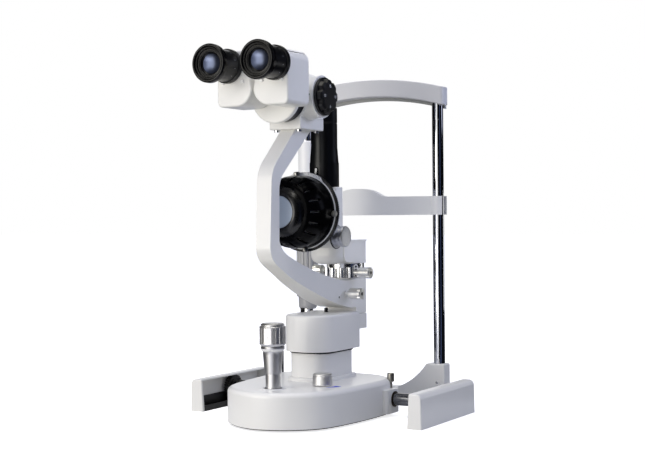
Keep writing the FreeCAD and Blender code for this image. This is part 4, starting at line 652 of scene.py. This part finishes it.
def bowl_parts():
    """Four knurled screws round the bowl, its satin nose and the bare disc in the nose.

    The screws point outwards at these angles from the right, one turned shape carried round
    the lamp's axis: x cos a - z sin a goes to x, and x sin a + z cos a to z.
    """
    profile = rounded([(0, 54.0), (3.2, 54.0), (4.1, 53.3), (4.1, 49.2), (3.4, 48.6), (2.0, 48.6),
                       (2.0, 45.3), (0, 45.3)], 0.25)
    flat = carried_round(profile, (0, 0, 0), "x", 144, ribs(18, 0.4, 49.4, 53.2))
    for index, angle in enumerate((-3, 97, 177, 277)):
        a = math.radians(angle)
        spin = np.array([[math.cos(a), 0, -math.sin(a)], [0, 1, 0], [math.sin(a), 0, math.cos(a)]])
        screw = surface(f"bowl_screw_{index}", flat @ spin.T + np.array(LAMP) + np.array([0, -0.6, 0]))
        stand_for(screw, KNURLED_STEEL, "illumination", ["lamp_screws"])
    profile = [(21.7, 57.7), (24.5, 57.35), (27.4, 55.6), (29.75, 53.3), (31.6, 50.6), (33.1, 47.4),
               (32.4, 47.0), (26.0, 54.0), (21.7, 56.6)]
    nose = turned("bowl_nose", rounded(profile, 0.8), LAMP, "-y", 160, ring=True)
    stand_for(nose, SATIN_ABS, "illumination", (), 60)
    sheet = [(0, 56.9), (19.8, 56.9), (20.2, 57.3), (20.9, 57.3), (21.1, 56.9), (21.1, 55.8), (0, 55.8)]
    badge = turned("bowl_disc", rounded(sheet, 0.2), LAMP, "-y", 128)
    stand_for(badge, BADGE_SHEET, "illumination")


def slit_parts():
    """The slit's width knob with its fine knurl, the seat it turns in, and the 45 degree mirror above."""
    profile = rounded([(0, 10), (4, 10), (4, 29.3), (15.6, 29.3), (15.6, 30.8), (13.2, 30.8), (13.2, 32.6),
                       (13.6, 33), (13.6, 38.6), (12.9, 39.2), (12.9, 39.9), (13.9, 40.2), (14.2, 40.8),
                       (14.2, 44.4), (13.5, 45.4), (0, 45.2)], 0.25)
    knob = turned("slit_knob_turned", profile, SLIT_KNOB, "x", 240, ribs(90, 0.25, 33.2, 38.4))
    metal = turned_metal("turned_aluminium_slit", "#C4C6CC", 0.30, SLIT_KNOB, 0, depth=0.0015, spread=0.03)
    stand_for(knob, metal, "slit_width", ["slit_knob"])
    profile = rounded([(13.4, 29.0), (16.6, 29.0), (16.6, 30.6), (13.4, 30.6)], 0.3)
    seat = turned("slit_knob_seat", profile, SLIT_KNOB, "x", 96, ring=True)
    stand_for(seat, MATT_ABS, "illumination")
    low, high = [[-6.2, -28.6, 420.6], [6.2, -28.6, 420.6]], [[-6.2, -3.1, 446.1], [6.2, -3.1, 446.1]]
    plate = surface("mirror_plate", np.array([low, high]) + np.array([0, 0.3, -0.3]), loop_columns=False)
    stand_for(plate, FRONT_SILVER, "illumination")


scale_parts()
bowl_parts()
slit_parts()


def lock_recess_shades():
    """A black hexagon disc on the end of each lock knob: painted shade for a hexagon recess."""
    profile = [(0, 0.1), (2.6, 0.1), (2.6, -1.0), (0, -1.0)]
    for body, end, axis in (("arm_lock", 49.25, "x"), ("lamp_lock_right", 50.65, "x"),
                            ("lamp_lock_left", -40.65, "-x")):
        place = on_axis(body + "_turn", "x", end)
        # Each black disc is painted shade for a hexagon recess in the knob's end.
        socket = turned("hex_recess_shade_" + body, profile, place, axis, 96, facets(6, 0.0, -9, 9, 0.1))
        stand_for(socket, BLACK_OXIDE, body)


def brim_parts():
    """The white eyelet on the index collar's brim, and a black plug in it: painted shade for its hole.

    They sit 27.7 degrees round to the right: a point (u, v, h) of a turned shape goes to
    u along the brim, v up and 26.5 + h out from the pivot.
    """
    a = math.radians(-27.7)
    out = np.array([math.cos(a), math.sin(a), 0.0])
    beside, up = np.array([-out[1], out[0], 0.0]), np.array([0.0, 0.0, 1.0])
    middle = np.array(on_axis("lamp_swing", "z", 200.4))
    rim = [(1.7, -1.0), (3.3, -1.0), (3.3, 0.9), (1.7, 0.9)]
    plug = [(0, -1.0), (1.75, -1.0), (1.75, 0.3), (0, 0.3)]
    # The black plug is painted shade for the eyelet's hole.
    for name, profile, material, slot in (("brim_eyelet", rim, WHITE_ACETAL, "white_sleeve"),
                                          ("brim_hole_shade", plug, BLACK_OXIDE, "ground_steel")):
        local = carried_round(rounded(profile, 0.3), (0, 0, 0), "z", 64)
        points = middle + local[..., :1] * beside + local[..., 1:2] * up + (local[..., 2:] + 26.5) * out
        stand_for(surface(name, points, loop_rows=profile is rim), material, BODY_OF["index_collar"])


def arm_hole_shade():
    """A black disc in the right side of the microscope's arm: painted shade for a set screw's hole."""
    profile = [(0, 0.15), (1.4, 0.15), (1.4, -0.8), (0, -0.8)]
    # The black disc is painted shade for the screw's hole.
    screw = turned("arm_screw_hole_shade", profile, (22.0, -17.2, 160.1), "x", 32)
    stand_for(screw, BLACK_OXIDE, "microscope")


lock_recess_shades()
brim_parts()
arm_hole_shade()


# ---------------------------------------------------------------- chin rest

CHIN_SLEEVE = on_axis("chin_sleeve_turn", "z")


def chin_sleeve():
    """The ribbed sleeve on the left post: two rounded ends with ten heights between them."""
    foot = rounded([(12.55, 150.3), (15.3, 150.3), (16.5, 151.6), (16.5, 154.0)], 0.4)
    flank = np.column_stack([np.full(10, 16.5), np.linspace(160, 214, 10)])
    top = rounded([(16.5, 219.0), (16.5, 221.7), (15.3, 223.0), (12.55, 223.0)], 0.4)
    sleeve = turned("sleeve_ribbed", np.vstack([foot, flank, top]), CHIN_SLEEVE, "z", 336,
                    ribs(14, 1.5, 151.4, 221.9, 1.5, 6.0), ring=True)
    stand_for(sleeve, GREY_ABS, "chin_turn", ["chin_sleeve"])


chin_sleeve()


# ---------------------------------------------------------------- stage, light and camera

def plain_tree(owner):
    """Switch on the nodes of a world or a material and hand back its tree, empty."""
    owner.use_nodes = True
    owner.node_tree.nodes.clear()
    return owner.node_tree


def white_world():
    """A white world for the camera, gloss and glass, and a dimmer blue fill for all else."""
    world = bpy.data.worlds.new("studio")
    bpy.context.scene.world = world
    tree = plain_tree(world)
    rays = node(tree, "LightPath").outputs
    seen = node(tree, "Math", {0: rays["Is Camera Ray"], 1: rays["Is Glossy Ray"]}, operation="MAXIMUM")
    seen = node(tree, "Math", {0: seen.outputs[0], 1: rays["Is Transmission Ray"]}, operation="MAXIMUM")
    fill = node(tree, "Background", {"Color": linear("#C2C9E6"), "Strength": 0.70})
    white = node(tree, "Background", {"Color": (1, 1, 1, 1), "Strength": 1.0})
    both = node(tree, "MixShader", {0: seen.outputs[0], 1: fill.outputs[0], 2: white.outputs[0]})
    node(tree, "OutputWorld", {"Surface": both.outputs[0]})


def pale_floor():
    """A matt floor with a glow that only the camera sees. A diffuse ray sees a dimmer floor."""
    bpy.ops.mesh.primitive_grid_add(x_subdivisions=2, y_subdivisions=2, size=30)
    floor = bpy.context.object
    floor.name = "floor"
    paper = bpy.data.materials.new("paper_sweep")
    tree = plain_tree(paper)
    rays = node(tree, "LightPath").outputs
    matt = node(tree, "BsdfDiffuse", {"Color": linear("#E8E8E8")})
    glow = node(tree, "Emission", {"Color": (1, 1, 1, 1), "Strength": 0.78})
    both = node(tree, "AddShader", {0: matt.outputs[0], 1: glow.outputs[0]})
    seen = node(tree, "MixShader", {0: rays["Is Camera Ray"], 1: matt.outputs[0], 2: both.outputs[0]})
    dim = node(tree, "BsdfDiffuse", {"Color": linear("#B4B4AE")})
    seen = node(tree, "MixShader", {0: rays["Is Diffuse Ray"], 1: seen.outputs[0], 2: dim.outputs[0]})
    node(tree, "OutputMaterial", {"Surface": seen.outputs[0]})
    floor.data.materials.append(paper)


# Name, place, size, height aimed at, spread in degrees, watts and colour.
LAMPS = (("key", (-0.55, -1.35, 0.42), (0.9, 1.2), 0.25, 180, 11.2, "#FFFBF2"),
         ("top", (0.1, -0.4, 2.4), (1.6, 1.6), 0.25, 180, 27, "#FFFCF4"),
         ("rim", (1.9, 1.3, 1.2), (0.7, 1.4), 0.25, 180, 3.2, "#DDE3FF"),
         ("head", (1.0, 0.45, 0.75), (0.4, 0.4), 0.50, 40, 0.3, "#D6DEFF"),
         ("bounce", (-0.35, -1.5, 0.05), (1.0, 0.3), 0.48, 180, 5.0, "#FFF9EC"),
         ("kicker", (0.8, 1.39, 0.18), (0.34, 0.3), 0.25, 180, 0.5, "#FFFFFF"))


def soft_lamps():
    """Six soft lamps, each a rectangle that faces a height on the middle line.

    The key stands on the left and the top lamp overhead. The rim is cool and comes from
    behind on the right, with the narrow head lamp for the upper right, which gloss doesn't
    see. The bounce lights undersides from the floor in front, and the kicker stands low at
    the back.
    """
    for name, place, size, aim, spread, watts, colour in LAMPS:
        data = bpy.data.lights.new(name, "AREA")
        data.spread = math.radians(spread)
        data.shape = "RECTANGLE"
        data.size, data.size_y = size
        data.energy = watts
        data.color = linear(colour)[:3]
        lamp = bpy.data.objects.new(name, data)
        lamp.location = place
        lamp.visible_glossy = name != "head"
        lamp.rotation_mode = "QUATERNION"
        lamp.rotation_quaternion = (Vector((0, 0, aim)) - Vector(place)).to_track_quat("-Z", "Y")
        bpy.context.scene.collection.objects.link(lamp)


def velvet(name, colour):
    """A matt card of one colour."""
    card = bpy.data.materials.new(name)
    tree = plain_tree(card)
    matt = node(tree, "BsdfDiffuse", {"Color": linear(colour)})
    node(tree, "OutputMaterial", {"Surface": matt.outputs[0]})
    return card


def flags():
    """Dark cards that only gloss can see, so that chrome has edges to show and black stays black.

    They stand on a ring of radius 3.4 m, outside the lamps, and run in along the floor to
    0.3 m. A round one hangs at 3.2 m. The slate card between two black ones is a dim cold
    stripe down the right of each round bar.
    """
    cards = [turned("flag_roof", [(0, 3200), (3400, 3150)], (0, 0, 0), "z", 48)]
    reach = np.array([300.0, 3400.0, 3400.0])[:, None]
    for name, start, end in (("left", -170, -46), ("camera", -9, 35), ("slate", 35, 46), ("right", 46, 172)):
        angle = np.radians(np.linspace(start, end, 24) + 30)
        points = np.empty((3, 24, 3))
        points[..., 0] = reach * np.sin(angle)
        points[..., 1] = -reach * np.cos(angle)
        points[..., 2] = np.array([2.0, 2.0, 3100.0])[:, None]
        cards.append(surface("flag_" + name, points, loop_columns=False))
    black, slate = velvet("black_velvet_card", "#101114"), velvet("slate_velvet_card", "#5A6684")
    for flag in cards:
        flag.data.materials.append(slate if flag.name == "flag_slate" else black)
        for ray in ("camera", "diffuse", "transmission", "shadow", "volume_scatter"):
            setattr(flag, "visible_" + ray, False)


def camera():
    """A 71 mm lens on a 36 mm sensor, at table lamp height, 30 degrees round to the right."""
    data = bpy.data.cameras.new("camera")
    data.sensor_width = 36.0
    data.lens = 70.8
    data.clip_start, data.clip_end = 0.05, 50.0
    eye = bpy.data.objects.new("camera", data)
    eye.location = (0.876, -1.528, 0.270)
    eye.rotation_mode = "QUATERNION"
    aim = Vector((-0.503, 0.864, -math.tan(math.radians(0.38))))
    eye.rotation_quaternion = aim.to_track_quat("-Z", "Y") @ Quaternion((0, 0, 1), math.radians(-0.5))
    bpy.context.scene.collection.objects.link(eye)
    bpy.context.scene.camera = eye


bpy.context.scene.view_settings.view_transform = "Standard"
white_world()
pale_floor()
soft_lamps()
flags()
camera()
